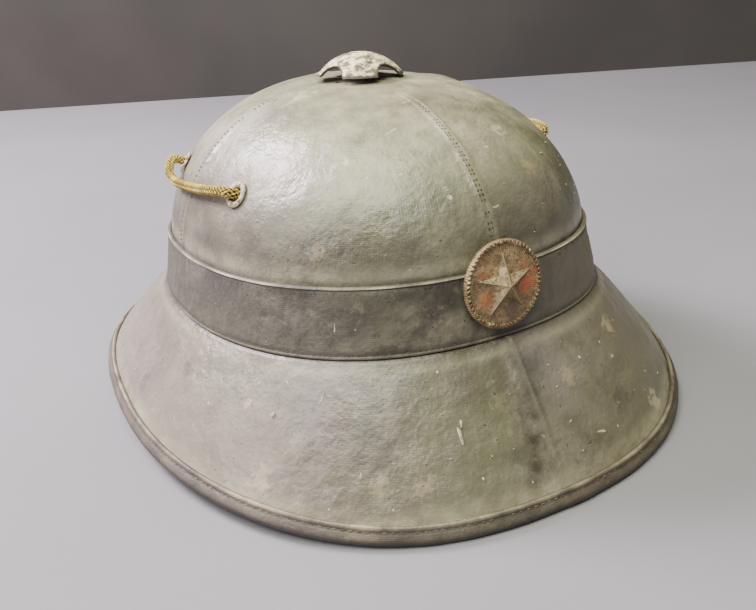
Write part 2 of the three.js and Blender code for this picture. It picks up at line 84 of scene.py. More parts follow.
BADGE_RADIUS = 16.75 * MM
BADGE_BORDER = 2.2 * MM
BADGE_FIELD_EDGE = 1.6 * MM
BADGE_FIELD_RISE = 2.4 * MM
BADGE_SEAT_SHARE = 0.78
STAR_RADIUS = 11.8 * MM
STAR_WAIST_SHARE = 0.42
STAR_RISE = 2.2 * MM
BEAD_SIZE = (0.9 * MM, 0.56 * MM, 0.72 * MM)
BEAD_SLANT = math.radians(32)
CLASP_SIZE = (0.8 * MM, 1.1 * MM, 1.0 * MM)

EYELET_OUTER = 5.4 * MM
EYELET_BORE = 3 * MM
EYELET_WALL = 0.8 * MM
EYELET_FLANGE = 0.9 * MM
EYELET_RISE_SHARE = 0.48
EYELET_SPREAD = math.radians(27.5)
CORD_RADIUS = 2.1 * MM
CORD_CORE_RADIUS = CORD_RADIUS - 0.75 * MM
CORD_PITCH = 12 * MM
KNOT_CORD_RADIUS = 1.75 * MM
KNOT_PITCH = 10 * MM
STRAND_SINK = 0.5 * MM
STRAND_WAVE = 0.2 * MM

STATIONS = 512
AROUND = np.linspace(-math.pi, math.pi, STATIONS, endpoint=False)
CROWN_ROWS = 74
CAP_SECTIONS = 288
CAP_ROWS = 26
BADGE_SECTIONS = 128
EYELET_SECTIONS = 64
BORDER_BEADS = 58
CROWN_SPECKS = 90
BRIM_SPECKS = 150
CROWN_SEAMS = (-90, 0, 90, 180)
BRIM_SEAMS = (-90, 90)
CROWN_SEAM_RISE = 0.7 * MM
CROWN_SEAM_GROOVE = 0.3 * MM
BRIM_SEAM_RISE = 0.6 * MM
CROWN_TOP_HOLE = 2.8 * MM
VENT_HOLE_RADIUS = 2 * MM
VENT_HOLE_CIRCLE = 12.5 * MM
DRILL_REACH = (-7 * MM, 5 * MM)
FRONT = -math.pi / 2

# Camera, as a designer would place it: height and distance from the helmet, and a slight roll
CAMERA_AZIMUTH = math.radians(-25.78)
CAMERA_ELEVATION = math.radians(24.71)
CAMERA_ROLL = math.radians(-3.8)
CAMERA_DISTANCE = 402.9 * MM
CAMERA_AIM = (4.01 * MM, 22.45 * MM)
FOCAL_SHARE_OF_WIDTH = 1.0475
SENSOR = 36.0
WALL_DISTANCE = 0.8
FLOOR_REACH = 3

# Route of the chin cord, as in the solids, in millimetres
CORD_ROUTE = [
    (-69.3, 33.6, 99.8), (-73.6, 35, 102.9), (-77.2, 34.9, 104.6), (-80.6, 31.9, 104.5),
    (-83.4, 24.5, 101.6), (-83.8, 14, 100.3), (-83.6, 0, 101.5), (-81.5, -20, 103.9),
    (-77.8, -36.5, 106.2), (-75.5, -40.7, 106.2), (-73.2, -41.2, 105.1), (-69.2, -40, 102.2),
    (-66.3, -39.2, 98.6), (-65.6, -38.9, 88), (-65.3, -38.7, 52), (-65.5, -38, 17),
    (-66.3, -32, 4.2), (-67.5, -16, 2.4), (-66, 24, 2.4), (-45, 71, 2.4),
    (0, 91, 2.4), (45, 71, 2.4), (66, 24, 2.4), (67.5, -16, 2.4),
    (66.3, -32, 4.2), (65.5, -38, 17), (65.3, -38.7, 52), (65.6, -38.9, 88),
    (66.3, -39.2, 98.6), (69.2, -40, 102.2), (73.2, -41.2, 105.1), (75.6, -40.6, 106.6),
    (77.3, -36.4, 107.9), (79.9, -20, 107), (81.6, 0, 105.8), (81.3, 15, 105.6),
    (78.9, 30.4, 106.3), (76.7, 34.2, 104.9), (73.6, 35, 102.9), (69.3, 33.6, 99.8),
]


# Camera and lights

def add_camera():
    azimuth, elevation = CAMERA_AZIMUTH, CAMERA_ELEVATION
    back = Vector((
        math.sin(azimuth) * math.cos(elevation),
        -math.cos(azimuth) * math.cos(elevation),
        math.sin(elevation),
    ))
    right = Vector((math.cos(azimuth), math.sin(azimuth), 0))
    up = back.cross(right)
    aim = right * CAMERA_AIM[0] + Vector((0, 0, CAMERA_AIM[1]))
    right, up = (
        right * math.cos(CAMERA_ROLL) + up * math.sin(CAMERA_ROLL),
        up * math.cos(CAMERA_ROLL) - right * math.sin(CAMERA_ROLL),
    )
    data = bpy.data.cameras.new("camera")
    data.sensor_width = SENSOR
    data.sensor_fit = "HORIZONTAL"
    data.lens = SENSOR * FOCAL_SHARE_OF_WIDTH
    data.clip_start = 0.01
    camera = bpy.data.objects.new("camera", data)
    bpy.context.collection.objects.link(camera)
    turn = Matrix((right, up, back)).transposed()
    camera.matrix_world = Matrix.Translation(aim + back * CAMERA_DISTANCE) @ turn.to_4x4()
    bpy.context.scene.camera = camera


def add_area_light(name, place, aim, size, power, color):
    data = bpy.data.lights.new(name, "AREA")
    data.shape = "RECTANGLE"
    data.size, data.size_y = size
    data.energy = power
    data.color = color
    light = bpy.data.objects.new(name, data)
    bpy.context.collection.objects.link(light)
    light.location = place
    light.rotation_euler = (Vector(aim) - Vector(place)).to_track_quat("-Z", "Y").to_euler()


def add_lights():
    target = (0, 0, 0.06)
    add_area_light("window_back", (-0.62, 0.72, 0.92), target, (0.42, 0.42), 44, (1.0, 0.87, 0.98))
    add_area_light("lamp_above", (-0.4, -0.28, 1.2), target, (1.1, 1.1), 37, (1.0, 1.0, 0.84))
    add_area_light("fill_left", (-1.0, -0.1, 0.5), target, (0.5, 0.5), 5, (1.0, 0.86, 1.0))
    add_area_light("fill_right", (1.2, -0.3, 0.7), target, (0.9, 0.9), 1.5, (1.0, 0.95, 0.6))
    world = bpy.data.worlds.new("studio")
    world.use_nodes = True
    background = world.node_tree.nodes["Background"]
    background.inputs["Color"].default_value = (0.9, 0.92, 0.96, 1)
    background.inputs["Strength"].default_value = 0.12
    bpy.context.scene.world = world


# Mesh helpers

def object_from(name, vertices, faces, material, body="root", smooth=True, sharp=40):
    mesh = bpy.data.meshes.new(name)
    mesh.from_pydata([tuple(v) for v in vertices], [], faces)
    mesh.validate()
    mesh.shade_smooth() if smooth else mesh.shade_flat()
    if smooth:
        mesh.set_sharp_from_angle(angle=math.radians(sharp))
    thing = bpy.data.objects.new(name, mesh)
    bpy.context.collection.objects.link(thing)
    if material:
        mesh.materials.append(material)
    if body:
        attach(thing, body)
    return thing


def grid_object(name, grid, material, around=True, along=True, paint=None, sharp=40, body="root"):
    """A quad surface over grid[station, row], closed round either way, with its lengths as UVs."""
    stations, rows = grid.shape[:2]
    i, j = np.meshgrid(
        np.arange(stations if around else stations - 1),
        np.arange(rows if along else rows - 1),
        indexing="ij",
    )
    i, j = i.ravel(), j.ravel()
    corners = [(i, j), (i, j + 1), (i + 1, j + 1), (i + 1, j)]
    faces = np.stack([(a % stations) * rows + (b % rows) for a, b in corners], axis=1)
    step_u = np.linalg.norm(np.roll(grid, -1, axis=0) - grid, axis=2).mean(axis=1)
    step_v = np.linalg.norm(np.roll(grid, -1, axis=1) - grid, axis=2).mean(axis=0)
    u = np.concatenate([[0], np.cumsum(step_u)])
    v = np.concatenate([[0], np.cumsum(step_v)])
    thing = object_from(name, grid.reshape(-1, 3), faces.tolist(), material, body, sharp=sharp)
    mesh = thing.data
    if len(mesh.polygons) == len(faces):
        layer = mesh.uv_layers.new(name="lengths")
        uv = np.stack([np.stack([u[a], v[b]], axis=1) for a, b in corners], axis=1)
        layer.data.foreach_set("uv", uv.reshape(-1).astype(np.float32))
    for key, values in (paint or {}).items():
        attribute = mesh.attributes.new(key, "FLOAT", "POINT")
        attribute.data.foreach_set("value", values.reshape(-1).astype(np.float32))
    return thing


def turned(profile, angle):
    """Points of one profile of (radius, height) pairs, turned about +Z."""
    return swept(angle, np.array(profile, float)[None])


def placed(points, seat):
    """Turns points whose axis is +Z onto a seat's outward normal, and moves them there."""
    point, normal = seat
    turn = np.array(Vector((0, 0, 1)).rotation_difference(Vector(normal)).to_matrix())
    return points @ turn.T + np.array(point)


def bumps(points, size, seed, octaves=3):
    """Soft noise from -1 to 1 at each point, at a size in metres."""
    flat = points.reshape(-1, 3) / size + seed * 7.31
    values = [noise.fractal(Vector(p), 0.6, 2.0, octaves) for p in flat]
    return np.array(values).reshape(points.shape[:-1])


def smooth_step(low, high, value):
    share = np.clip((value - low) / (high - low), 0, 1)
    return share * share * (3 - 2 * share)


def fall(low, high, value):
    return 1 - smooth_step(low, high, value)


def plateau(value, start, full, still, end):
    """0 up to the start, 1 from full to still, and 0 again past the end."""
    return smooth_step(start, full, value) * fall(still, end, value)


def hump(value, middle, width):
    """1 at the middle, falling off softly on both sides over about the width."""
    return np.exp(-((value - middle) / width) ** 2)


def most(*layers):
    """The largest of several layers at each point."""
    return np.maximum.reduce(layers)


def circle(count):
    return np.linspace(0, 2 * math.pi, count, endpoint=False)


def run_along(points):
    """How far along their line each of the points is."""
    return np.concatenate([[0], np.cumsum(np.linalg.norm(np.diff(points, axis=0), axis=1))])


def at_marks(marks, run, rows):
    """Rows of three values, read off at some distances along a line."""
    return np.stack([np.interp(marks, run, rows[:, k]) for k in range(3)], axis=1)


def unit(rows):
    return rows / np.linalg.norm(rows, axis=-1, keepdims=True)


def rod_faces(base, sides, count):
    """Quads and end caps of a rod whose vertices run along it, side by side."""
    faces = [
        (base + k * count + m, base + n * count + m, base + n * count + m + 1, base + k * count + m + 1)
        for k, n in zip(range(sides), [*range(1, sides), 0]) for m in range(count - 1)]
    faces.append([base + k * count for k in range(sides)])
    faces.append([base + k * count + count - 1 for k in range(sides - 1, -1, -1)])
    return faces


# The helmet's forms

def oval(angle, half_width, half_length, roundness):
    across = (np.abs(np.cos(angle)) / half_width) ** roundness
    along = (np.abs(np.sin(angle)) / half_length) ** roundness
    return (across + along) ** (-1 / roundness)


def lift(angle, radius):
    return -FORWARD_LIFT * radius * np.sin(angle)


def foot_z(angle):
    return FOOT_HEIGHT + lift(angle, oval(angle, **FOOT))


def band_top_z(angle):
    return BAND_TOP_HEIGHT + lift(angle, oval(angle, **BAND_TOP))


def wall_radius(angle, height, inset):
    """Radius of the straight wall between foot and band top, set inward square to it."""
    foot, top = oval(angle, **FOOT), oval(angle, **BAND_TOP)
    run, rise = top - foot, band_top_z(angle) - foot_z(angle)
    return foot + run * (height - foot_z(angle)) / rise - inset * np.hypot(1, run / rise)


def ring_points(angle, radius, height):
    points = np.broadcast_arrays(radius * np.cos(angle), radius * np.sin(angle), height)
    return np.stack(points, axis=-1)


def swept(angle, rows):
    """Points of (radius, height) pairs, where each angle has one pair or a row of them."""
    angle = angle[:, None] if rows.ndim > 2 else angle
    return ring_points(angle, rows[..., 0], rows[..., 1])


def crown_skin(angle, share):
    """Outer skin of the dome, where share 0 to 1 climbs from the band's top to the apex."""
    share = np.clip(share, 0, 1)
    narrowing = (1 - share ** DOME_FLATNESS) ** (1 / DOME_SHOULDER)
    roundness = BAND_TOP["roundness"] + (2 - BAND_TOP["roundness"]) * share
    inset = oval(angle, **BAND_TOP) - wall_radius(angle, band_top_z(angle), BAND_CLOTH + GAP)
    radius = oval(
        angle,
        (BAND_TOP["half_width"] - inset) * narrowing,
        (BAND_TOP["half_length"] - inset) * narrowing,
        roundness,
    )
    climb = (APEX_HEIGHT - BAND_TOP_HEIGHT) * share
    return np.stack([
        radius * np.cos(angle),
        radius * np.sin(angle) - APEX_SET_FORWARD * share,
        BAND_TOP_HEIGHT + climb + lift(angle, radius) * (1 - share),
    ], axis=-1)


def crown_normal(angle, share):
    step = 0.002
    middle = np.clip(share, 1.5 * step, 1 - 1.5 * step)
    around = crown_skin(angle + step, middle) - crown_skin(angle - step, middle)
    climb = crown_skin(angle, middle + step) - crown_skin(angle, middle - step)
    return unit(np.cross(around, climb))


def crown_seat(angle, share):
    return crown_skin(np.array(angle), np.array(share)), crown_normal(np.array(angle), np.array(share))


EYELETS = {
    "eyelet_right_front": crown_seat(EYELET_SPREAD - math.pi, EYELET_RISE_SHARE),
    "eyelet_right_rear": crown_seat(math.pi - EYELET_SPREAD, EYELET_RISE_SHARE),
    "eyelet_left_front": crown_seat(-EYELET_SPREAD, EYELET_RISE_SHARE),
    "eyelet_left_rear": crown_seat(EYELET_SPREAD, EYELET_RISE_SHARE),
}


def rim_frame(angle):
    """Centre of the rolled edge in (radius, height), way down the slope, and way out of it."""
    sideways = smooth_step(RIM_FLAT_SHARE, 1, np.abs(np.cos(angle)))
    lowest = ROLL_RADIUS * math.cos(ROLL_FLAT_TURN)
    centre = np.stack([oval(angle, **RIM) - ROLL_RADIUS, RIM_SIDE_RISE * sideways + lowest], axis=-1)
    foot = np.stack([oval(angle, **FOOT), foot_z(angle)], axis=-1)
    down = unit(centre - foot)
    out = np.stack([-down[..., 1], down[..., 0]], axis=-1)
    return centre, down, out, lowest


def signed_distance_round(angle, to_angle, radius):
    return ((angle - to_angle + math.pi) % (2 * math.pi) - math.pi) * radius


# Materials

class Paint:
    """Builds one procedural material, node by node."""

    def __init__(self, name, roughness=0.8, metallic=0.0, specular=0.35):
        self.material = bpy.data.materials.new(name)
        self.material.use_nodes = True
        self.tree = self.material.node_tree
        self.shader = self.tree.nodes["Principled BSDF"]
        self.shader.inputs["Roughness"].default_value = roughness
        self.shader.inputs["Metallic"].default_value = metallic
        self.shader.inputs["Specular IOR Level"].default_value = specular
        self.where = self.node("ShaderNodeTexCoord")["Object"]

    def node(self, kind, inputs=None, **settings):
        """Adds a node with its settings, feeds its inputs, and gives its outputs."""
        made = self.tree.nodes.new(kind)
        for key, value in settings.items():
            setattr(made, key, value)
        for key, value in (inputs or {}).items():
            self.feed(made.inputs[key], value)
        return made.outputs

    def feed(self, socket, value):
        if isinstance(value, bpy.types.NodeSocket):
            self.tree.links.new(value, socket)
        elif socket.type == "RGBA":
            socket.default_value = (*value, 1)
        else:
            socket.default_value = value

    def stretched(self, scale):
        return self.node("ShaderNodeMapping", {"Vector": self.where, "Scale": scale})["Vector"]

    def noise(self, scale, detail=4.0, roughness=0.55, distortion=0.0, at=None):
        return self.node("ShaderNodeTexNoise", {
            "Vector": at or self.where, "Scale": scale, "Detail": detail,
            "Roughness": roughness, "Distortion": distortion,
        })["Fac"]

    def ramp(self, value, low, high, start=0.0, end=1.0):
        inputs = {"Value": value, "From Min": low, "From Max": high, "To Min": start, "To Max": end}
        return self.node("ShaderNodeMapRange", inputs, interpolation_type="SMOOTHSTEP")["Result"]

    def maths(self, operation, first, second):
        return self.node("ShaderNodeMath", {0: first, 1: second}, operation=operation)["Value"]

    def times(self, first, second):
        return self.maths("MULTIPLY", first, second)

    def plus(self, first, second):
        return self.maths("ADD", first, second)

    def minus(self, first, second):
        return self.maths("SUBTRACT", first, second)

    def larger(self, first, second):
        return self.maths("MAXIMUM", first, second)

    def total(self, *parts):
        """Sum of some values, each times its weight."""
        result = None
        for value, weight in parts:
            value = value if weight == 1 else self.times(value, weight)
            result = value if result is None else self.plus(result, value)
        return result

    def mix(self, share, first, second):
        inputs = {"Factor": share, "A": first, "B": second}
        return self.node("ShaderNodeMix", inputs, data_type="RGBA")["Result"]

    def mottle(self, first, second, low, high, *texture, strength=1.0):
        """Goes from the first colour to the second where a noise rises from low to high."""
        return self.mix(self.ramp(self.noise(*texture), low, high, 0, strength), first, second)

    def painted(self, name):
        return self.node("ShaderNodeAttribute", attribute_name=name)["Fac"]

    def axis(self, name):
        return self.node("ShaderNodeSeparateXYZ", {0: self.where})[name]

    def lengths(self):
        return self.node("ShaderNodeUVMap", uv_map="lengths")["UV"]

    def near(self, point, radius, ragged=1.6, soft=0.6):
        """1 at a point of the surface and 0 past the radius, with a ragged edge."""
        inputs = {0: self.where, 1: tuple(float(x) for x in point)}
        away = self.node("ShaderNodeVectorMath", inputs, operation="DISTANCE")["Value"]
        rough = self.times(self.noise(2.2 / radius, 6.0, 0.7), radius * ragged * 2)
        edge = radius * (0.75 + ragged)
        return self.ramp(self.plus(away, rough), edge, edge - radius * soft)

    def waves(self, period, axis, at):
        inputs = {"Vector": at, "Scale": math.pi / 10 / period, "Distortion": 0.3}
        return self.node("ShaderNodeTexWave", inputs, wave_type="BANDS", bands_direction=axis)["Fac"]

    def finish(self, color, roughness, height, depth, metallic=None):
        inputs = {"Distance": depth, "Strength": 1.0, "Height": height}
        sockets = {
            "Base Color": color, "Roughness": roughness, "Metallic": metallic,
            "Normal": self.node("ShaderNodeBump", inputs)["Normal"],
        }
        for key, value in sockets.items():
            if value is not None:
                self.feed(self.shader.inputs[key], value)
        return self.material


def worn_cloth(name, tones, stains=(), dust=0.5, weave=0.06, roughness=0.43, pebble=0.5):
    """Painted cloth with blotches, run marks, scratches, pale flecks and rubbed edges, dirt and painted
    shade in creases and undersides, and painted light and shade from one side to the other.
    """
    paint = Paint(name, specular=0.75)
    color = paint.mottle(tones["deep"], tones["base"], 0.42, 0.58, 14, 6, 0.6, 0.6)
    hue = paint.noise(11, 4, 0.55, 0.4)
    runs = paint.noise(1, 5, 0.65, 0.2, at=paint.stretched((85, 85, 10)))
    uneven = paint.times(paint.minus(paint.noise(17, 4, 0.6), 0.5), 140 * MM)
    sideways = paint.plus(paint.axis("X"), uneven)
    for value, low, high, strength, tone in (
        (paint.noise(46, 6, 0.65, 0.3), 0.5, 0.68, 0.6, "pale"),
        (paint.noise(95, 6, 0.7, 0.8), 0.5, 0.64, 0.6, "deep"),
        (paint.noise(210, 5, 0.7, 0.4), 0.54, 0.68, 0.45, "pale"),
        (hue, 0.5, 0.62, 0.55, "violet"),
        (hue, 0.5, 0.38, 0.55, "olive"),
        (runs, 0.54, 0.7, 0.5, "deep"),
        (paint.noise(560, 4, 0.65), 0.54, 0.72, 0.4, "deep"),
        # Painted light and shade across the helmet: each cloth's right-side tone comes in towards +X and its
        # left-side tone towards -X
        (sideways, -15 * MM, 85 * MM, 0.8, "painted_right_shading"),
        (sideways, -40 * MM, -120 * MM, 0.4, "painted_left_shading"),
    ):
        color = paint.mix(paint.ramp(value, low, high, 0, strength), color, tones[tone])
    for mark, place in stains:
        near = paint.near(place, mark.radius * MM, mark.ragged, mark.soft)
        color = paint.mix(paint.times(near, mark.strength), color, mark.tone)
    pits = paint.ramp(paint.noise(420, 2, 0.5), 0.715, 0.745, 0, 0.75)
    flecks = paint.noise(330, 2, 0.5, at=paint.stretched((1, 1, 0.6)))
    flecks = paint.ramp(flecks, 0.765 - 0.02 * dust, 0.785, 0, 0.8)
    scratches = paint.noise(1, 2, 0.4, 0.5, at=paint.stretched((130, 560, 60)))
    scratches = paint.ramp(scratches, 0.745, 0.765, 0, 0.8)
    scratches = paint.times(scratches, paint.ramp(paint.noise(16, 2), 0.5, 0.58))
    # Dirt, and painted shade in creases, under edges and under the cap, from the painted attribute
    grime_and_shade = paint.times(paint.painted("grime_and_shade"), 0.8)
    rubbed = paint.times(paint.painted("wear"), paint.ramp(paint.noise(120, 4), 0.3, 0.6, 0.45, 1))
    for share, tone in (
        (pits, "grime_and_shade"), (flecks, "fleck"), (scratches, "fleck"), (grime_and_shade, "grime_and_shade"), (rubbed, "rubbed"),
    ):
        color = paint.mix(share, color, tones[tone])
    lengths = paint.lengths()
    threads = paint.times(paint.waves(0.75 * MM, "X", lengths), paint.waves(0.75 * MM, "Y", lengths))
    height = paint.total(
        (threads, weave), (paint.noise(620, 3, 0.5), pebble), (paint.noise(150, 3, 0.5), 1.6),
        (flecks, 0.3), (pits, -0.3))
    shine = paint.ramp(paint.noise(38, 4, 0.6), 0.3, 0.7, roughness - 0.12, roughness + 0.12)
    return paint.finish(color, shine, height, depth=0.5 * MM)


# Single marks that the photograph shows: angle round the helmet in degrees, share of the way over the
# surface, radius in millimetres, strength, softness of the edge, tone, and raggedness of the edge
Mark = namedtuple("Mark", "angle share radius strength soft tone ragged", defaults=(1.6,))

# Marks on the crown, by their share of the way up it
CROWN_MARKS = (
    (-123.5, 0.675, 1.7, 0.8, 0.2, (0.49, 0.43, 0.32)),
    (-120.3, 0.69, 1.9, 0.8, 0.2, (0.49, 0.43, 0.32)),
    (-73, 0.747, 5.2, 0.7, 0.25, (0.46, 0.4, 0.28)),
    (-72.4, 0.738, 2.1, 0.8, 0.3, (0.12, 0.08, 0.035)),
    (-73.5, 0.536, 4.6, 0.6, 0.3, (0.34, 0.22, 0.1)),
    (-97.5, 0.477, 1.3, 0.9, 0.3, (0.56, 0.53, 0.44)),
    (-125.5, 0.22, 5, 0.85, 0.35, (0.44, 0.36, 0.22)),
    (-108, 0.9, 13, 0.3, 0.9, (0.42, 0.39, 0.29)),
    # A broad pale patch on the upper left: painted highlight
    (-142, 0.72, 26, 0.5, 0.9, (0.35, 0.315, 0.27)),
    (-165, 0.955, 11, 0.75, 0.6, (0.52, 0.47, 0.31)),
    (-66, 0.86, 13, 0.55, 0.7, (0.085, 0.075, 0.05)),
    (-74, 0.385, 12, 0.5, 0.6, (0.085, 0.07, 0.04)),
    (-75, 0.13, 10, 0.5, 0.7, (0.09, 0.075, 0.045)),
    (-60, 0.5, 16, 0.45, 0.8, (0.09, 0.075, 0.045)),
    (-30, 0.5, 24, 0.4, 0.9, (0.095, 0.085, 0.055)),
    (60, 0.5, 22, 0.4, 0.9, (0.095, 0.085, 0.06)),
    (120, 0.35, 18, 0.4, 0.6, (0.4, 0.36, 0.28)),
)

# Marks on the brim, by their share of the way down it
BRIM_MARKS = (
    (-88, 0.06, 9, 0.8, 1.1, (0.05, 0.046, 0.034), 0.6),
    (-88.5, 0.2, 9, 0.85, 1.1, (0.05, 0.048, 0.036), 0.6),
    (-89.5, 0.36, 8, 0.85, 1.1, (0.05, 0.05, 0.036), 0.7),
    (-90.5, 0.52, 8, 0.85, 1, (0.048, 0.046, 0.034), 0.7),
    (-91.5, 0.67, 7, 0.85, 0.9, (0.05, 0.044, 0.03), 0.8),
    (-92.5, 0.81, 7, 0.85, 0.8, (0.05, 0.042, 0.028), 0.8),
    (-93.5, 0.94, 6, 0.85, 0.8, (0.045, 0.036, 0.024), 0.8),
    (-87.5, 0.26, 15, 0.5, 0.75, (0.035, 0.033, 0.024), 0.3),
    (-89.5, 0.43, 15, 0.55, 0.75, (0.035, 0.032, 0.022), 0.3),
    (-92, 0.72, 14, 0.5, 0.75, (0.035, 0.03, 0.02), 0.3),
    (-99.5, 0.2, 8, 0.55, 0.8, (0.085, 0.055, 0.042)),
    (-95.5, 0.38, 6, 0.45, 0.8, (0.2, 0.19, 0.105)),
    (-81, 0.37, 6, 0.5, 0.5, (0.33, 0.28, 0.16)),
    (-64.5, 0.24, 6, 0.65, 0.4, (0.36, 0.29, 0.17)),
    (-64, 0.89, 7, 0.65, 0.4, (0.42, 0.36, 0.22)),
    (-72, 0.66, 10, 0.45, 0.8, (0.05, 0.038, 0.024)),
    (-80.5, 0.83, 10, 0.5, 0.9, (0.055, 0.043, 0.027)),
    (-76, 0.15, 9, 0.4, 0.9, (0.06, 0.05, 0.03)),
    (-56, 0.5, 18, 0.3, 1.1, (0.06, 0.047, 0.028), 0.8),
    (-134, 0.85, 7, 0.6, 0.5, (0.42, 0.36, 0.25)),
    (-115.5, 0.77, 6, 0.5, 0.5, (0.34, 0.28, 0.18)),
    (-109.5, 0.77, 7, 0.5, 0.5, (0.33, 0.27, 0.17)),
    (-139, 0.38, 2.6, 0.8, 0.3, (0.4, 0.32, 0.22)),
    (-139.5, 0.07, 7, 0.6, 0.7, (0.075, 0.06, 0.05)),
    (-133, 0.3, 6, 0.4, 0.7, (0.085, 0.068, 0.06)),
    (-159, 0.33, 9, 0.55, 0.7, (0.085, 0.066, 0.06)),
    (-174, 0.72, 9, 0.5, 0.8, (0.09, 0.07, 0.062)),
    (-150, 0.62, 15, 0.35, 1.1, (0.1, 0.082, 0.074), 0.9),
    (-118, 0.45, 20, 0.4, 1.1, (0.09, 0.088, 0.074), 0.9),
    (-104, 0.66, 12, 0.35, 1.1, (0.088, 0.08, 0.063), 0.9),
    (40, 0.5, 26, 0.4, 1.1, (0.076, 0.063, 0.038)),
    (130, 0.6, 26, 0.35, 1.1, (0.08, 0.069, 0.05)),
)

# Lighter places on the band round the badge, painted light on its front, by their share of the way up it
BAND_MARKS = (
    (-100, 0.35, 13, 0.8, 1.1, (0.29, 0.26, 0.17), 0.7),
    (-94, 0.1, 11, 0.75, 1.1, (0.27, 0.235, 0.15), 0.7),
    (-108, 0.6, 9, 0.45, 1.1, (0.19, 0.17, 0.12), 0.8),
    (-84, 0.05, 8, 0.45, 1, (0.17, 0.15, 0.09), 0.7),
)

# Long pale chips on the brim, with their length and thickness in millimetres and sideways lean
Chip = namedtuple("Chip", "angle share length thick lean")
BRIM_CHIPS = (
    (-103, 0.52, 6.5, 0.5, 0.1),
    (-102.5, 0.45, 3, 0.35, -0.1),
    (-133, 0.41, 2.4, 0.42, -0.5),
    (-131, 0.18, 3.2, 0.22, 0.6),
    (-104.5, 0.11, 1.3, 0.35, 0),
    (-77, 0.3, 1.8, 0.35, 0.4),
    (-69, 0.42, 1.5, 0.35, -0.4),
    (-101, 0.8, 1.4, 0.3, 0.2),
    (-62, 0.7, 1.6, 0.3, 0.5),
)


def brim_surface(angle, share, off=0.0):
    """Point of the brim's outer face in (radius, height), share of the way from foot to tape."""
    centre, down, out, _ = rim_frame(angle)
    low = foot_z(angle)
    start = np.stack([oval(angle, **FOOT) + BAND_CLOTH / 2, low], axis=-1)
    end = centre + down * (-TAPE_WIDTH - GAP) + out * (BRIM_WALL / 2)
    swell = BRIM_SWELL * 4 * share * (1 - share) + off
    return start + (end - start) * share + out * swell


def crown_place(angle, share):
    return crown_skin(np.array(angle), np.array(share))


def brim_place(angle, share):
    return swept(angle, brim_surface(np.array(angle), share))


def band_place(angle, share):
    height = foot_z(angle) + share * (band_top_z(angle) - foot_z(angle))
    return ring_points(angle, wall_radius(angle, height, 0), height)


def stains(marks, place_at):
    """Each mark with its place on the surface that place_at gives for an angle and a share."""
    marks = [Mark(*row) for row in marks]
    return [(mark, place_at(math.radians(mark.angle), mark.share)) for mark in marks]


# The right-side and left-side tones of each cloth are painted light and shade across the helmet; the darkest
# tone paints dirt, pits and the painted shade in creases and undersides
CLOTH_TONES = dict(
    base=(0.18, 0.175, 0.112), deep=(0.095, 0.09, 0.055), pale=(0.28, 0.27, 0.18),
    violet=(0.185, 0.155, 0.15), olive=(0.158, 0.162, 0.09), fleck=(0.62, 0.56, 0.42),
    grime_and_shade=(0.036, 0.028, 0.018), rubbed=(0.43, 0.41, 0.27), painted_right_shading=(0.092, 0.084, 0.046),
    painted_left_shading=(0.25, 0.21, 0.195),
)
BRIM_TONES = dict(
    CLOTH_TONES, base=(0.165, 0.15, 0.105), deep=(0.088, 0.078, 0.052), pale=(0.25, 0.228, 0.16),
    rubbed=(0.34, 0.31, 0.2), painted_right_shading=(0.115, 0.1, 0.06), painted_left_shading=(0.31, 0.25, 0.235),
)
BAND_TONES = dict(
    base=(0.088, 0.078, 0.053), deep=(0.032, 0.027, 0.018), pale=(0.18, 0.163, 0.112),
    violet=(0.09, 0.074, 0.07), olive=(0.092, 0.092, 0.05), fleck=(0.45, 0.41, 0.31),
    grime_and_shade=(0.02, 0.015, 0.01), rubbed=(0.46, 0.42, 0.30), painted_right_shading=(0.125, 0.108, 0.062),
    painted_left_shading=(0.058, 0.048, 0.046),
)
TAPE_TONES = dict(
    base=(0.062, 0.047, 0.03), deep=(0.026, 0.019, 0.012), pale=(0.12, 0.095, 0.062),
    violet=(0.062, 0.046, 0.04), olive=(0.058, 0.05, 0.029), fleck=(0.46, 0.39, 0.27),
    grime_and_shade=(0.015, 0.011, 0.007), rubbed=(0.32, 0.265, 0.175), painted_right_shading=(0.04, 0.029, 0.016),
    painted_left_shading=(0.095, 0.075, 0.064),
)


# Shell, tape and band

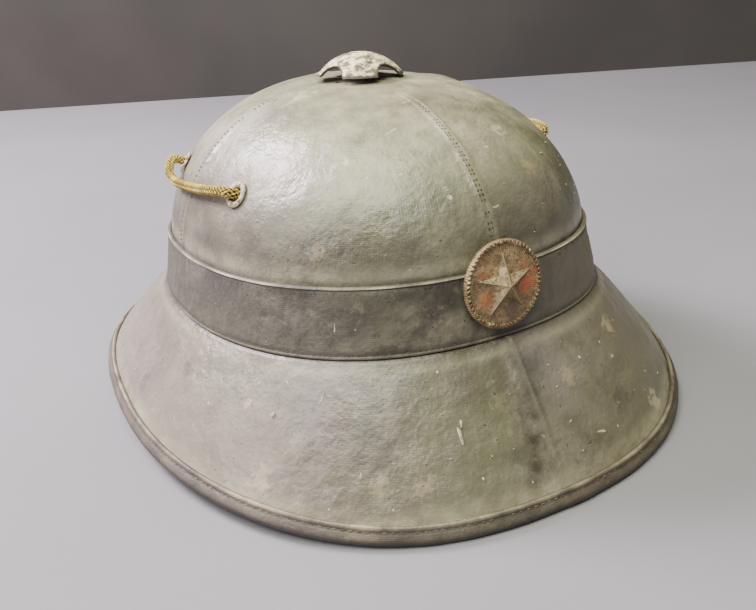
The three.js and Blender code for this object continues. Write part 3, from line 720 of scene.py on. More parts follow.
def make_crown(material):
    angle = AROUND
    shares = np.sin(np.linspace(0.02, 0.5 * math.pi - 0.02, CROWN_ROWS)) ** (2 / DOME_FLATNESS)
    a, s = np.meshgrid(angle, shares, indexing="ij")
    skin, normal = crown_skin(a, s), crown_normal(a, s)
    radius = np.hypot(skin[..., 0], skin[..., 1] + APEX_SET_FORWARD * s)
    height = bumps(skin, 34 * MM, 1) * 0.35 * MM + bumps(skin, 9 * MM, 2, 2) * 0.12 * MM
    # Darker towards the crown's foot, and a dark line where it meets the band: painted shade in the crease
    low_darkening = 0.6 * fall(0.1, 0.66, s) * (1 + 1.0 * bumps(skin, 24 * MM, 14))
    grime_and_shade = most(0.6 * fall(0.0, 0.035, s), np.clip(low_darkening, 0, 0.75))
    faded = 0.42 * smooth_step(0.4, 0.8, s) * (1 + 0.9 * bumps(skin, 20 * MM, 16))
    wear = most(0.45 * plateau(s, 0, 0.05, 0.05, 0.16), np.clip(faded, 0, 0.7))
    for seam in CROWN_SEAMS:
        across = signed_distance_round(a, math.radians(seam), radius)
        fade = plateau(s, 0, 0.06, 0.93, 0.985)
        lap = plateau(across, -2.9 * MM, -2.1 * MM, 1.0 * MM, 1.5 * MM)
        height += CROWN_SEAM_RISE * lap * fade
        height -= CROWN_SEAM_GROOVE * hump(across, -0.7 * MM, 0.5 * MM) * fade
        rubbed = (0.65 if seam == -90 else 0.3) * hump(across, 0.6 * MM, 0.8 * MM) * fade
        wear = most(wear, rubbed * (0.8 + 0.8 * bumps(skin, 18 * MM, 15)))
        grime_and_shade = most(
            grime_and_shade, 0.6 * hump(across, -3.1 * MM, 0.8 * MM) * fade,
            0.35 * hump(across, 2.8 * MM, 0.8 * MM) * fade)
    for point, _ in EYELETS.values():
        away = np.linalg.norm(skin - point, axis=-1)
        height -= 0.25 * MM * hump(away, EYELET_OUTER, 4 * MM)
        grime_and_shade = most(grime_and_shade, 0.55 * hump(away, EYELET_OUTER, 1.6 * MM))
    from_cap = np.hypot(skin[..., 0], skin[..., 1] + APEX_SET_FORWARD)
    # Painted shade on the crown under the vent cap
    grime_and_shade = most(grime_and_shade, 0.8 * fall(CAP_RADIUS - 4 * MM, CAP_RADIUS + 1 * MM, from_cap))
    wear = most(wear, 0.4 * hump(from_cap, CAP_RADIUS + 3 * MM, 2.5 * MM))
    outer = skin + normal * height[..., None]
    low, inset = foot_z(angle) + GAP, BAND_CLOTH + GAP
    under = []
    for share in (0.0, 0.33, 0.66, 0.93):
        z = low + share * (band_top_z(angle) - low)
        under.append(ring_points(angle, wall_radius(angle, z, inset), z))
    top = ring_points(angle, CROWN_TOP_HOLE, APEX_HEIGHT) - np.array([0, APEX_SET_FORWARD, 0])
    inner_shares = np.sin(np.linspace(0, 1, 22) * 0.5 * math.pi * 0.985) ** (2 / DOME_FLATNESS)
    b, t = np.meshgrid(angle, inner_shares, indexing="ij")
    inner = crown_skin(b, t) - crown_normal(b, t) * CROWN_WALL
    inner_low = ring_points(angle, wall_radius(angle, low, inset + CROWN_WALL), low)
    grid = np.concatenate([
        np.stack(under, axis=1), outer, top[:, None], top[:, None] - np.array([0, 0, CROWN_WALL]),
        inner[:, ::-1], inner_low[:, None],
    ], axis=1)
    paint = {
        "wear": whole_rows(wear, 0.0, len(under), grid.shape[1]),
        "grime_and_shade": whole_rows(grime_and_shade, 0.35, len(under), grid.shape[1]),
    }
    crown = grid_object("crown_shell", grid, material, paint=paint, sharp=50)
    cutters = [(seat, EYELET_BORE + EYELET_WALL + GAP) for seat in EYELETS.values()]
    for side in range(4):
        turn = CAP_TURN + math.radians(45 + 90 * side)
        x, y = VENT_HOLE_CIRCLE * math.cos(turn), VENT_HOLE_CIRCLE * math.sin(turn) - APEX_SET_FORWARD
        cutters.append((((x, y, APEX_HEIGHT), (0, 0, 1)), VENT_HOLE_RADIUS))
    drill(crown, cutters)
    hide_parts("crown")


def whole_rows(values, rest, before, rows):
    """Values of some rows of a grid, with the rest value in the rows before and after them."""
    after = rows - before - values.shape[1]
    return np.pad(values, ((0, 0), (before, after)), constant_values=rest)


def drill(thing, cutters):
    """Cuts short round holes through a piece, each at a seat with a radius."""
    sides = 32
    vertices, faces = [], []
    for seat, radius in cutters:
        profile = [(radius, along) for along in DRILL_REACH]
        ring = turned(profile, circle(sides)).transpose(1, 0, 2).reshape(-1, 3)
        base = len(vertices)
        vertices.extend(placed(ring, seat).tolist())
        faces.append([base + k for k in reversed(range(sides))])
        faces.append([base + sides + k for k in range(sides)])
        for k, n in zip(range(sides), [*range(1, sides), 0]):
            faces.append([base + k, base + n, base + sides + n, base + sides + k])
    tool = object_from("drill_tool", vertices, faces, None, body=None, smooth=False)
    modifier = thing.modifiers.new("holes", "BOOLEAN")
    modifier.object = tool
    modifier.operation = "DIFFERENCE"
    modifier.solver = "EXACT"
    bpy.context.view_layer.update()
    shown = thing.evaluated_get(bpy.context.evaluated_depsgraph_get())
    mesh = bpy.data.meshes.new_from_object(shown)
    thing.modifiers.clear()
    thing.data = mesh
    bpy.data.objects.remove(tool)


def make_brim(material):
    angle = AROUND
    centre, down, out, _ = rim_frame(angle)
    low = foot_z(angle)
    neck_inset = BAND_CLOTH + GAP + CROWN_WALL + GAP
    neck_top = low + NECK_SHARE * (band_top_z(angle) - low)
    shares = np.linspace(0, 1, 40)
    outer = np.stack([brim_surface(angle, share) for share in shares], axis=1)
    a, s = np.meshgrid(angle, shares, indexing="ij")
    here = swept(angle, outer)
    height = bumps(here, 40 * MM, 3) * 0.5 * MM + bumps(here, 11 * MM, 4, 2) * 0.13 * MM
    height *= plateau(s, 0, 0.12, 0.9, 1)
    # Dark at the brim's foot: painted shade in the crease under the band
    grime_and_shade = 0.75 * fall(0.0, 0.045, s)
    wear = 0.85 * smooth_step(0.86, 0.99, s) * (0.7 + 0.6 * bumps(here, 22 * MM, 5))
    wear = most(wear, 0.35 * hump(s, 0.075, 0.03))
    for seam in BRIM_SEAMS:
        across = signed_distance_round(a, math.radians(seam), outer[..., 0])
        lap = plateau(across, -3.6 * MM, -2.2 * MM, 1.4 * MM, 2.2 * MM)
        height += BRIM_SEAM_RISE * lap * smooth_step(0, 0.05, s)
        grime_and_shade = most(grime_and_shade, 0.35 * hump(across, 2.8 * MM, 1.0 * MM))
        wear = most(wear, 0.3 * hump(across, 1.4 * MM, 0.9 * MM))
    outer = outer + out[:, None] * height[..., None]
    inner_shares = np.linspace(0.95, 0.1, 16)
    inner = np.stack([brim_surface(angle, share, -BRIM_WALL) for share in inner_shares], axis=1)
    neck_out = [(neck_top, neck_inset), (low + 0.4 * (neck_top - low), neck_inset), (low, neck_inset)]
    neck_in = [(low - BRIM_WALL, neck_inset + NECK_WALL), (neck_top, neck_inset + NECK_WALL)]
    edge = [
        centre + down * -GAP + out * (BRIM_WALL / 2),
        centre + down * -GAP - out * (BRIM_WALL / 2),
        centre + down * (-TAPE_WIDTH - GAP) - out * (BRIM_WALL / 2),
    ]
    rows = np.concatenate([
        wall_rows(angle, neck_out), outer, np.stack(edge, axis=1), inner, wall_rows(angle, neck_in),
    ], axis=1)
    grid = swept(angle, rows)
    paint = {
        "wear": whole_rows(wear, 0.0, len(neck_out), rows.shape[1]),
        "grime_and_shade": whole_rows(grime_and_shade, 0.3, len(neck_out), rows.shape[1]),
    }
    brim = grid_object("brim_shell", grid, material, paint=paint, sharp=50)
    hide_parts("brim")


def wall_rows(angle, places):
    """Rows of (radius, height) on the straight wall, from each row's height and inset."""
    return np.stack([
        np.stack([wall_radius(angle, height, inset), height], axis=-1) for height, inset in places
    ], axis=1)


def make_binding(material):
    angle = AROUND
    centre, down, out, lowest = rim_frame(angle)
    outer, inner = ROLL_RADIUS, BRIM_WALL / 2 + GAP

    def local(along, off):
        return centre + down * along + out * off

    def roll(turn, radius):
        return local(radius * math.sin(math.radians(turn)), radius * math.cos(math.radians(turn)))

    floor = centre[..., 1] - lowest
    flat = outer * math.sin(ROLL_FLAT_TURN)
    bead = (
        (0, inner - outer), (0, -0.1 * outer), (0.3 * MM, 0.75 * TAPE_BEAD), (0.9 * MM, TAPE_BEAD),
        (1.5 * MM, 0.6 * TAPE_BEAD), (2.0 * MM, -0.15 * MM), (2.5 * MM, -0.2 * MM), (3.1 * MM, 0.1 * MM),
        (TAPE_WIDTH - 0.7 * MM, 0.05 * MM),
    )
    section = [local(along - TAPE_WIDTH, outer + rise) for along, rise in bead]
    section += [roll(turn, outer) for turn in (0, 20, 40, 60, 80, 98)]
    first_hidden = len(section)
    section += [
        np.stack([centre[..., 0] + flat, floor], axis=-1), np.stack([centre[..., 0] - flat, floor], axis=-1),
        roll(166, outer), roll(180, outer), local(TAPE_BEAD - TAPE_WIDTH, -outer),
        local(TAPE_BEAD - TAPE_WIDTH, -inner), roll(180, inner), roll(120, inner), roll(60, inner),
        roll(0, inner),
    ]
    rows = np.stack(section, axis=1)
    grid = swept(angle, rows)
    height = bumps(grid, 7 * MM, 6, 2) * 0.16 * MM + bumps(grid, 30 * MM, 7) * 0.2 * MM
    across = signed_distance_round(angle, FRONT, RIM["half_length"])
    overlap = plateau(across, 1 * MM, 2 * MM, 13 * MM, 14 * MM)
    height += overlap[:, None] * 0.45 * MM
    height[:, 0] = 0
    height[:, first_hidden:] = 0
    grid = grid + swept(angle, out[:, None]) * height[..., None]
    hidden = len(section) - first_hidden
    worn = np.array([0, 0.4, 0.8, 0.8, 0.5, 0.1, 0, 0.1, 0.2, 0.2, 0.1, 0, 0, 0, 0] + [0] * hidden)
    # Painted shade: the roll's underside and the crease against the brim are painted dark; along the
    # overlap's edge it is dirt
    dirt_and_shade = np.array([0.9, 0.3, 0, 0, 0, 0.35, 0.4, 0.15, 0, 0.1, 0.3, 0.7, 1, 1, 1] + [1] * hidden)
    wear = worn * (0.7 + 0.9 * bumps(grid, 15 * MM, 8))
    lap_edge = 0.5 * overlap * (np.abs(across - 1.5 * MM) < 2 * MM)
    paint = {"wear": wear, "grime_and_shade": np.clip(dirt_and_shade + lap_edge[:, None], 0, 1)}
    binding = grid_object("binding_tape", grid, material, paint=paint, sharp=55)
    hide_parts("brim_binding")


def make_band(material):
    angle = AROUND
    low, top = foot_z(angle) + GAP, band_top_z(angle)
    hem = ((0, BAND_CLOTH), (0, 0.4 * BAND_CLOTH), (0.25 * MM, -0.1 * MM), (0.7 * MM, -0.3 * MM),
           (1.2 * MM, -0.2 * MM), (1.6 * MM, 0.1 * MM), (2.1 * MM, 0))
    bead = ((-1.25 * MM, 0), (-0.95 * MM, 0.1 * MM), (-0.7 * MM, -0.15 * MM), (-0.4 * MM, -BAND_BEAD),
            (-0.1 * MM, -0.8 * BAND_BEAD), (0.2 * MM, -0.1 * MM), (0.35 * MM, 0.5 * BAND_CLOTH),
            (0, BAND_CLOTH))
    places = [(low + up, inset) for up, inset in hem]
    places += [(low + share * (top - low), 0) for share in np.linspace(0.14, 0.88, 12)]
    places += [(low + (top - low) + up, inset) for up, inset in bead]
    rows = wall_rows(angle, places)
    grid = swept(angle, rows)
    count = len(places)
    place = np.linspace(0, 1, count)[None, :] * np.ones((STATIONS, 1))
    face = plateau(place, 0.18, 0.34, 0.66, 0.8)
    wide = grid * np.array([1, 1, 2.4])
    height = face * (bumps(wide, 24 * MM, 9) * 0.4 * MM + bumps(wide, 8 * MM, 10, 2) * 0.14 * MM)
    outward = ring_points(angle[:, None], np.ones_like(place), 0 * place)
    grid = grid + outward * np.clip(height, -0.25 * MM, 0.6 * MM)[..., None]
    worn, dirt_and_shade = np.zeros(count), np.zeros(count)
    worn[-6:-1] = (0, 0.75, 0.8, 0.1, 0)
    worn[2:5] = 0.12
    # Dark at the band's foot, in the groove above the hem and in the groove under the top bead: painted
    # shade in the creases
    dirt_and_shade[:2] = 0.9
    dirt_and_shade[5:7] = (0.9, 0.5)
    dirt_and_shade[-7] = 0.75
    wear = np.clip(worn * (0.7 + 1.1 * bumps(grid, 26 * MM, 11)), 0, 1)
    paint = {"wear": wear, "grime_and_shade": np.broadcast_to(dirt_and_shade, wear.shape)}
    band = grid_object("band_wrap", grid, material, paint=paint, sharp=55)
    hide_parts("band")


def short_threads(name, centre, way, up, length, thick, material):
    """Small bits that lie on a surface: their middles, ways along and ways out of it."""
    length = np.broadcast_to(length, len(centre))
    thick = np.broadcast_to(thick, len(centre))
    side = np.cross(up, way)
    vertices, faces = [], []
    for c, w, s, u, long, fat in zip(centre, way, side, up, length, thick):
        base = len(vertices)
        for along, sink, size in ((-0.5, -0.8, 0.55), (-0.28, 0.1, 1), (0.28, 0.1, 1), (0.5, -0.8, 0.55)):
            middle = c + w * along * long + u * sink * fat
            for k in range(5):
                turn = 2 * math.pi * k / 5
                vertices.append(middle + (s * math.cos(turn) * 1.25 + u * math.sin(turn)) * fat * size)
        for ring in range(0, 15, 5):
            for k in range(5):
                n = (k + 1) % 5
                faces.append([base + ring + k, base + ring + n, base + ring + 5 + n, base + ring + 5 + k])
        faces.append([base + k for k in range(4, -1, -1)])
        faces.append([base + 15 + k for k in range(5)])
    object_from(name, vertices, faces, material, sharp=60)


def stitch_row(name, points, normals, material, pitch, length=1.5 * MM, thick=0.17 * MM):
    """Stitches along a line of points on the surface, a few of them lost."""
    chance = np.random.default_rng(len(points) + len(name))
    run = run_along(points)
    count = int(run[-1] / pitch)
    marks = (np.arange(count) + 0.5 + chance.uniform(-0.16, 0.16, count)) * run[-1] / count
    marks = marks[chance.uniform(0, 1, count) > 0.14]
    ahead, behind = (at_marks(marks + step, run, points) for step in (0.5 * pitch, -0.5 * pitch))
    centre, up = at_marks(marks, run, points), at_marks(marks, run, normals)
    short_threads(name, centre, unit(ahead - behind), up, length, thick, material)


def make_specks(material):
    """Chips and grains of pale paint on crown and brim, and the few long ones the photo shows."""
    chance = np.random.default_rng(41)
    angle = chance.uniform(-math.pi, math.pi, CROWN_SPECKS)
    share = chance.uniform(0.08, 0.93, CROWN_SPECKS)
    scatter_specks("crown", crown_skin(angle, share), crown_normal(angle, share), chance, [], material)
    angle = chance.uniform(-math.pi, math.pi, BRIM_SPECKS)
    share = chance.uniform(0.06, 0.95, BRIM_SPECKS)
    chips = [Chip(*row) for row in BRIM_CHIPS]
    angle[:len(chips)] = [math.radians(chip.angle) for chip in chips]
    share[:len(chips)] = [chip.share for chip in chips]
    place = brim_surface(angle, share[:, None])
    _, _, out, _ = rim_frame(angle)
    scatter_specks("brim", swept(angle, place), swept(angle, out), chance, chips, material)


def scatter_specks(part, points, normals, chance, chips, material):
    count = len(points)
    length = 0.45 * MM + 1.5 * MM * chance.uniform(0, 1, count) ** 4
    thick = chance.uniform(0.1, 0.24, count) * MM
    way = chance.normal(size=(count, 3))
    for k, chip in enumerate(chips):
        length[k], thick[k], way[k] = chip.length * MM, chip.thick * MM, (chip.lean, 0, -1)
    way = unit(way - normals * np.sum(way * normals, axis=1, keepdims=True))
    points = points + normals * 0.12 * MM
    short_threads(f"{part}_specks", points, way, normals, length, thick, material)


def make_stitches(thread, pale_thread):
    fine = np.linspace(0.05, 0.97, 200)
    low_part = fine < 0.93
    for seam, label in ((-90, "front"), (0, "left"), (90, "rear"), (180, "right")):
        seam = math.radians(seam)
        radius = np.linalg.norm(crown_skin(np.array(seam), fine)[:, :2], axis=1)
        for aside, tag in ((-1.9 * MM, "a"), (-0.5 * MM, "b")):
            angle = seam + aside / np.maximum(radius, 12 * MM)
            line, normal = crown_skin(angle, fine)[low_part], crown_normal(angle, fine)[low_part]
            stitch_row(
                f"crown_stitches_{label}_{tag}", line + normal * 0.72 * MM, normal, thread,
                pitch=2.1 * MM, length=0.9 * MM, thick=0.19 * MM)
    angle = np.linspace(-math.pi, math.pi, 1440)
    centre, down, out, _ = rim_frame(angle)
    groove = centre + down * (-TAPE_WIDTH + 2.25 * MM) + out * (ROLL_RADIUS - 0.02 * MM)
    stitch_row(
        "binding_stitches", swept(angle, groove), swept(angle, out), pale_thread,
        pitch=2.9 * MM, thick=0.14 * MM)
    low = foot_z(angle) + GAP + 1.7 * MM
    high = band_top_z(angle) - 2.1 * MM
    normals = unit(ring_points(angle, 1.0, 0.2))
    for name, height, sink in (("band_stitches", low, -0.02 * MM), ("band_top_stitches", high, -0.04 * MM)):
        stitch_row(
            name, ring_points(angle, wall_radius(angle, height, sink), height), normals, thread,
            pitch=2.2 * MM, length=1.1 * MM, thick=0.13 * MM)


# Badge

def badge_seat():
    angle = np.array(FRONT)
    low, top = foot_z(angle), band_top_z(angle)
    z = low + BADGE_SEAT_SHARE * (top - low)
    run = oval(angle, **BAND_TOP) - oval(angle, **FOOT)
    normal = Vector((0, -(top - low), -run)).normalized()
    point = ring_points(angle, wall_radius(angle, z, 0), z) + np.array(normal) * (BAND_BEAD + GAP)
    return point, tuple(normal)


def upright(points, seat):
    """Sets points in the badge's own plane, +X left to right and +Y up, on its seat."""
    point, normal = seat
    out = Vector(normal)
    across = Vector((1, 0, 0))
    up = out.cross(across)
    turn = np.array(Matrix((across, up, out)))
    return points @ turn + np.array(point)


def dome(radius):
    field = BADGE_RADIUS - BADGE_BORDER
    return BADGE_FIELD_EDGE + 0.4 * BADGE_FIELD_RISE * (1 - (radius / field) ** 2)


def make_badge(plate_paint, star_paint, bead_paint):
    seat = badge_seat()
    field = BADGE_RADIUS - BADGE_BORDER
    edge = ((0.5, 0), (0.1, 0.4), (0, 1), (0.15, 1.7), (0.5, 2.1), (1.7, 2))
    profile = [(0.02 * MM, 0)] + [(BADGE_RADIUS - inward * MM, up * MM) for inward, up in edge]
    profile.append((field + 0.1 * MM, BADGE_FIELD_EDGE + 0.1 * MM))
    for share in (0.97, 0.9, 0.8, 0.7, 0.6, 0.5, 0.4, 0.3, 0.2, 0.1, 0.002):
        profile.append((share * field, dome(share * field)))
    profile = np.array(profile)
    grid = turned(profile, circle(BADGE_SECTIONS))
    grid[..., 2] += np.where(profile[:, 0] < field, bumps(grid, 4 * MM, 12, 2) * 0.16 * MM, 0)
    plate = grid_object("badge_plate", upright(grid, seat), plate_paint, sharp=50)
    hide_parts("badge")
    corners, faces, ridge = [], [], []
    for corner in range(10):
        turn = math.radians(90 + 36 * corner)
        tip = corner % 2 == 0
        radius = STAR_RADIUS if tip else STAR_RADIUS * STAR_WAIST_SHARE * 0.92
        level = dome(radius) + (0.4 * MM if tip else 0.05 * MM)
        for out, down in ((radius, 0), (radius * 1.03, 0.9 * MM)):
            corners.append((out * math.cos(turn), out * math.sin(turn), level - down))
        ridge += [1.0 if tip else 0.0, 0.0]
    corners += [(0, 0, BADGE_FIELD_EDGE + BADGE_FIELD_RISE + STAR_RISE), (0, 0, 0.8 * MM)]
    ridge += [1.0, 0.0]
    for corner in range(10):
        here, after = 2 * corner, 2 * ((corner + 1) % 10)
        faces += [(20, here, after), (here, here + 1, after + 1, after), (21, after + 1, here + 1)]
    star = object_from("badge_star", upright(np.array(corners), seat), faces, star_paint, smooth=False)
    star.data.attributes.new("ridge", "FLOAT", "POINT").data.foreach_set("value", ridge)
    make_rope_border(seat, bead_paint)


def turned_by(x, y, turn):
    return x * math.cos(turn) - y * math.sin(turn), x * math.sin(turn) + y * math.cos(turn)


def make_rope_border(seat, material):
    """Ring of slanted beads, like a twisted rope, with a small pale clasp at its top."""
    rings, sides = 5, 9
    middle = BADGE_RADIUS - 0.55 * BADGE_BORDER
    vertices, faces = [], []
    for bead in range(BORDER_BEADS + 1):
        clasp = bead == BORDER_BEADS
        turn = 2 * math.pi * bead / BORDER_BEADS + math.pi / 2
        width, length, height = CLASP_SIZE if clasp else BEAD_SIZE
        slant = 0 if clasp else BEAD_SLANT
        base = len(vertices)
        for ring in range(1, rings + 1):
            polar = math.pi * ring / (rings + 1)
            for k in range(sides):
                around = 2 * math.pi * k / sides
                x = width * math.sin(polar) * math.cos(around)
                y = length * math.sin(polar) * math.sin(around)
                x, y = turned_by(x, y, slant)
                vertices.append((*turned_by(middle + x, y, turn), height * math.cos(polar) + 2 * MM))
        for here in range(base, base + sides * (rings - 1), sides):
            above = here + sides
            for k, n in zip(range(sides), [*range(1, sides), 0]):
                faces.append([here + k, above + k, above + n, here + n])
        faces.append([base + k for k in range(sides)])
        faces.append([base + sides * (rings - 1) + k for k in range(sides - 1, -1, -1)])
    rope = object_from("badge_rope_border", upright(np.array(vertices), seat), faces, material, sharp=70)


# Ventilator, eyelets, cord

def make_vent_cap(material):
    """Domed cap whose skirt is cut by four arches: each meridian stops at the arch's edge."""
    lean_drop = CAP_RADIUS * math.sin(CAP_LEAN)
    angle = circle(CAP_SECTIONS)
    edge = crown_skin(angle, np.full_like(angle, 0.993))
    seat_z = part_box("vent_cap")[1][2] - CAP_HEIGHT
    seat_z = max(seat_z, float(edge[:, 2].max())) + GAP + lean_drop - 0.2 * MM
    rise = APEX_HEIGHT + CAP_HEIGHT - seat_z
    sphere = (CAP_RADIUS ** 2 + rise ** 2) / (2 * rise)
    turn = (angle - CAP_TURN) % (math.pi / 2) - math.pi / 4
    from_arch = CAP_RADIUS * np.tan(np.clip(turn, -0.7, 0.7))
    arch = ARCH_HEIGHT * np.sqrt(np.clip(1 - (from_arch / (ARCH_WIDTH / 2)) ** 2, 0, 1))
    reach = np.sqrt(np.clip(sphere ** 2 - (arch + sphere - rise) ** 2, 0, None))
    shares = np.linspace(0.012, 1, CAP_ROWS)
    radius = reach[:, None] * shares[None, :]
    z = np.sqrt(sphere ** 2 - radius ** 2) - (sphere - rise)
    dents = ring_points(angle[:, None], radius, z)
    z = z + bumps(dents, 9 * MM, 13, 2) * 0.22 * MM * shares[None, :]
    lean_in = radius / sphere
    inner_r, inner_z = radius - CAP_WALL * lean_in, z - CAP_WALL * np.sqrt(1 - lean_in ** 2)
    rows_r = np.concatenate([radius, inner_r[:, ::-1]], axis=1)
    rows_z = np.concatenate([z, np.maximum(inner_z, 0)[:, ::-1]], axis=1)
    grid = ring_points(angle[:, None], rows_r, rows_z)
    hinge = Vector((-math.sin(CAP_LEAN_TOWARD), math.cos(CAP_LEAN_TOWARD), 0))
    turn_back = np.array(Quaternion(hinge, CAP_LEAN).to_matrix())
    grid = grid @ turn_back.T + np.array([0, -APEX_SET_FORWARD, seat_z])
    # The inner face is painted dark all over as shade inside the cap; near the skirt's edge the paint is
    # chipped
    chipped_edge_and_inner_shade = np.concatenate([smooth_step(0.86, 1.0, shares), np.ones(CAP_ROWS)])
    paint = {"wear": np.broadcast_to(chipped_edge_and_inner_shade, grid.shape[:2])}
    cap = grid_object("vent_cap_shell", grid, material, paint=paint, sharp=45)
    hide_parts("vent_cap")


def make_eyelets(material):
    inside = -CROWN_WALL - GAP - 0.25 * MM
    profile = [
        (EYELET_BORE, inside - EYELET_FLANGE), (EYELET_OUTER - 0.7 * MM, inside - EYELET_FLANGE),
        (EYELET_OUTER - 0.4 * MM, inside - 0.6 * EYELET_FLANGE), (EYELET_OUTER - 0.4 * MM, inside),
        (EYELET_BORE + EYELET_WALL, inside), (EYELET_BORE + EYELET_WALL, GAP),
    ]
    rim = ((0, -0.15), (0, 0.25), (0.25, 0.6), (0.8, 0.88), (1.4, 0.9))
    profile += [(EYELET_OUTER - inward * MM, GAP + up * MM) for inward, up in rim]
    profile += [(EYELET_BORE + out * MM, GAP + up * MM) for out, up in ((0.55, 0.75), (0.15, 0.4), (0, 0))]
    for name, seat in EYELETS.items():
        grid = placed(turned(profile, circle(EYELET_SECTIONS)), seat)
        ring = grid_object(name + "_ring", grid, material, sharp=35)
        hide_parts(name)


def between(first, last, at, left, right):
    """Value at a place between the left one at the first place and the right one at the last."""
    return (last - at) / (last - first) * left + (at - first) / (last - first) * right


def catmull_rom(points, per_span):
    """Centripetal curve through the points, as the solids' cord has."""
    points = np.array(points, float)
    points = np.vstack([2 * points[0] - points[1], points, 2 * points[-1] - points[-2]])
    line = []
    for k in range(1, len(points) - 2):
        p = points[k - 1:k + 3]
        t = np.concatenate([[0], np.cumsum(np.sqrt(np.linalg.norm(np.diff(p, axis=0), axis=1)))])
        for u in np.linspace(t[1], t[2], per_span, endpoint=False):
            a = [between(t[m], t[m + 1], u, p[m], p[m + 1]) for m in range(3)]
            b = [between(t[m], t[m + 2], u, a[m], a[m + 1]) for m in range(2)]
            line.append(between(t[1], t[2], u, b[0], b[1]))
    line.append(points[-2])
    return np.array(line)


def even_line(line, step):
    run = run_along(line)
    marks = np.linspace(0, run[-1], max(2, int(round(run[-1] / step)) + 1))
    return at_marks(marks, run, line), marks


def steady_frames(line):
    """Two cross directions at each point of a line, that do not twist along it."""
    tangent = unit(np.gradient(line, axis=0))
    first = np.cross(tangent[0], (0.3, 0.2, 0.9))
    first /= np.linalg.norm(first)
    firsts = [first]
    for k in range(1, len(line)):
        first = firsts[-1] - tangent[k] * np.dot(firsts[-1], tangent[k])
        firsts.append(first / np.linalg.norm(first))
    return np.array(firsts), np.cross(tangent, firsts)


def braid(line, step, radius, pitch, carriers=6, sides=4):
    """Round braid: carriers in each direction that pass over and under each other."""
    line, run = even_line(line, step)
    first, second = steady_frames(line)
    width = 2 * math.pi * radius / carriers * 0.155
    vertices, faces, under = [], [], []
    for way, carrier in ((way, carrier) for way in (1, -1) for carrier in range(carriers)):
        start = 2 * math.pi * carrier / carriers
        angle = start + way * 2 * math.pi * run / pitch
        crossing = carriers * (start + way * 4 * math.pi * run / pitch) / (2 * math.pi)
        over = way * np.cos(math.pi * (crossing + carrier))
        reach = radius - STRAND_SINK + STRAND_WAVE * over
        out = first * np.cos(angle)[:, None] + second * np.sin(angle)[:, None]
        path = line + out * reach[:, None]
        side = np.cross(unit(np.gradient(path, axis=0)), out)
        faces += rod_faces(len(vertices), sides, len(line))
        for k in range(sides):
            turn = 2 * math.pi * k / sides + math.pi / 2
            vertices.extend(path + side * math.cos(turn) * width + out * math.sin(turn) * 0.34 * MM)
            under.extend(smooth_step(0.5, -0.5, over))
    return vertices, faces, under


def note_under(thing, under):
    """Marks how far a strand dips under the others, and leaves its core unmarked."""
    values = np.zeros(len(thing.data.vertices), np.float32)
    values[:len(under)] = under
    thing.data.attributes.new("under", "FLOAT", "POINT").data.foreach_set("value", values)


def make_cord(material, core_material):
    line = catmull_rom(np.array(CORD_ROUTE) * MM, 14)
    step = 0.45 * MM
    vertices, faces, under = braid(line, step, CORD_RADIUS, CORD_PITCH)
    strand_faces = len(faces)
    core, _ = even_line(line, 2.4 * MM)
    first, second = steady_frames(core)
    sides = 10
    faces += rod_faces(len(vertices), sides, len(core))
    for k in range(sides):
        turn = 2 * math.pi * k / sides
        vertices.extend(core + (first * math.cos(turn) + second * math.sin(turn)) * CORD_CORE_RADIUS)
    cord = object_from("chin_cord_braid", vertices, faces, material, sharp=80)
    note_under(cord, under)
    cord.data.materials.append(core_material)
    for polygon in cord.data.polygons[strand_faces:]:
        polygon.material_index = 1
    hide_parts("chin_cord")
    knots = make_knots(material)


def make_knots(material):
    """Overhand stopper knot of the same cord inside each rear eyelet."""
    knots = []
    for side in ("right", "left"):
        low, high = (np.array(corner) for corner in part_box("cord_knot_" + side))
        _, normal = EYELETS[f"eyelet_{side}_rear"]
        turn = np.linspace(0, 2 * math.pi, 120)
        loop = np.stack([
            np.sin(turn) + 2 * np.sin(2 * turn),
            np.cos(turn) - 2 * np.cos(2 * turn),
            -1.25 * np.sin(3 * turn),
        ], axis=1) * MM
        line = placed(loop, ((low + high) / 2, tuple(normal)))
        vertices, faces, under = braid(line, 0.5 * MM, KNOT_CORD_RADIUS, KNOT_PITCH)
        knot = object_from(f"cord_knot_{side}_tied", vertices, faces, material, sharp=80)
        note_under(knot, under)
        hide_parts("cord_knot_" + side)
        knots.append(knot)
    return knots


# Paints of the small pieces

def thread_paint(name, light, dark):
    paint = Paint(name, roughness=0.85)
    color = paint.mottle(dark, light, 0.35, 0.65, 260, 3)
    fibre = paint.noise(2600, 2, 0.6)
    return paint.finish(color, None, fibre, depth=0.08 * MM)


def cord_paint():
    paint = Paint("cord_braid", roughness=0.8, specular=0.3)
    hue = paint.mottle((0.36, 0.25, 0.06), (0.8, 0.61, 0.16), 0.35, 0.65, 90, 4, 0.6)
    hue = paint.mottle(hue, (0.15, 0.095, 0.03), 0.5, 0.75, 420, 3, 0.6, strength=0.5)
    hue = paint.mottle(hue, (0.9, 0.76, 0.26), 0.5, 0.75, 30, 3, strength=0.6)
    # Painted shade: near black where a strand dips under the others
    hue = paint.mix(paint.times(paint.painted("under"), 0.95), hue, (0.04, 0.024, 0.008))
    fibre = paint.noise(3200, 3, 0.6)
    rough = paint.ramp(paint.noise(700, 2), 0.3, 0.7, 0.68, 0.92)
    return paint.finish(hue, rough, fibre, depth=0.12 * MM)


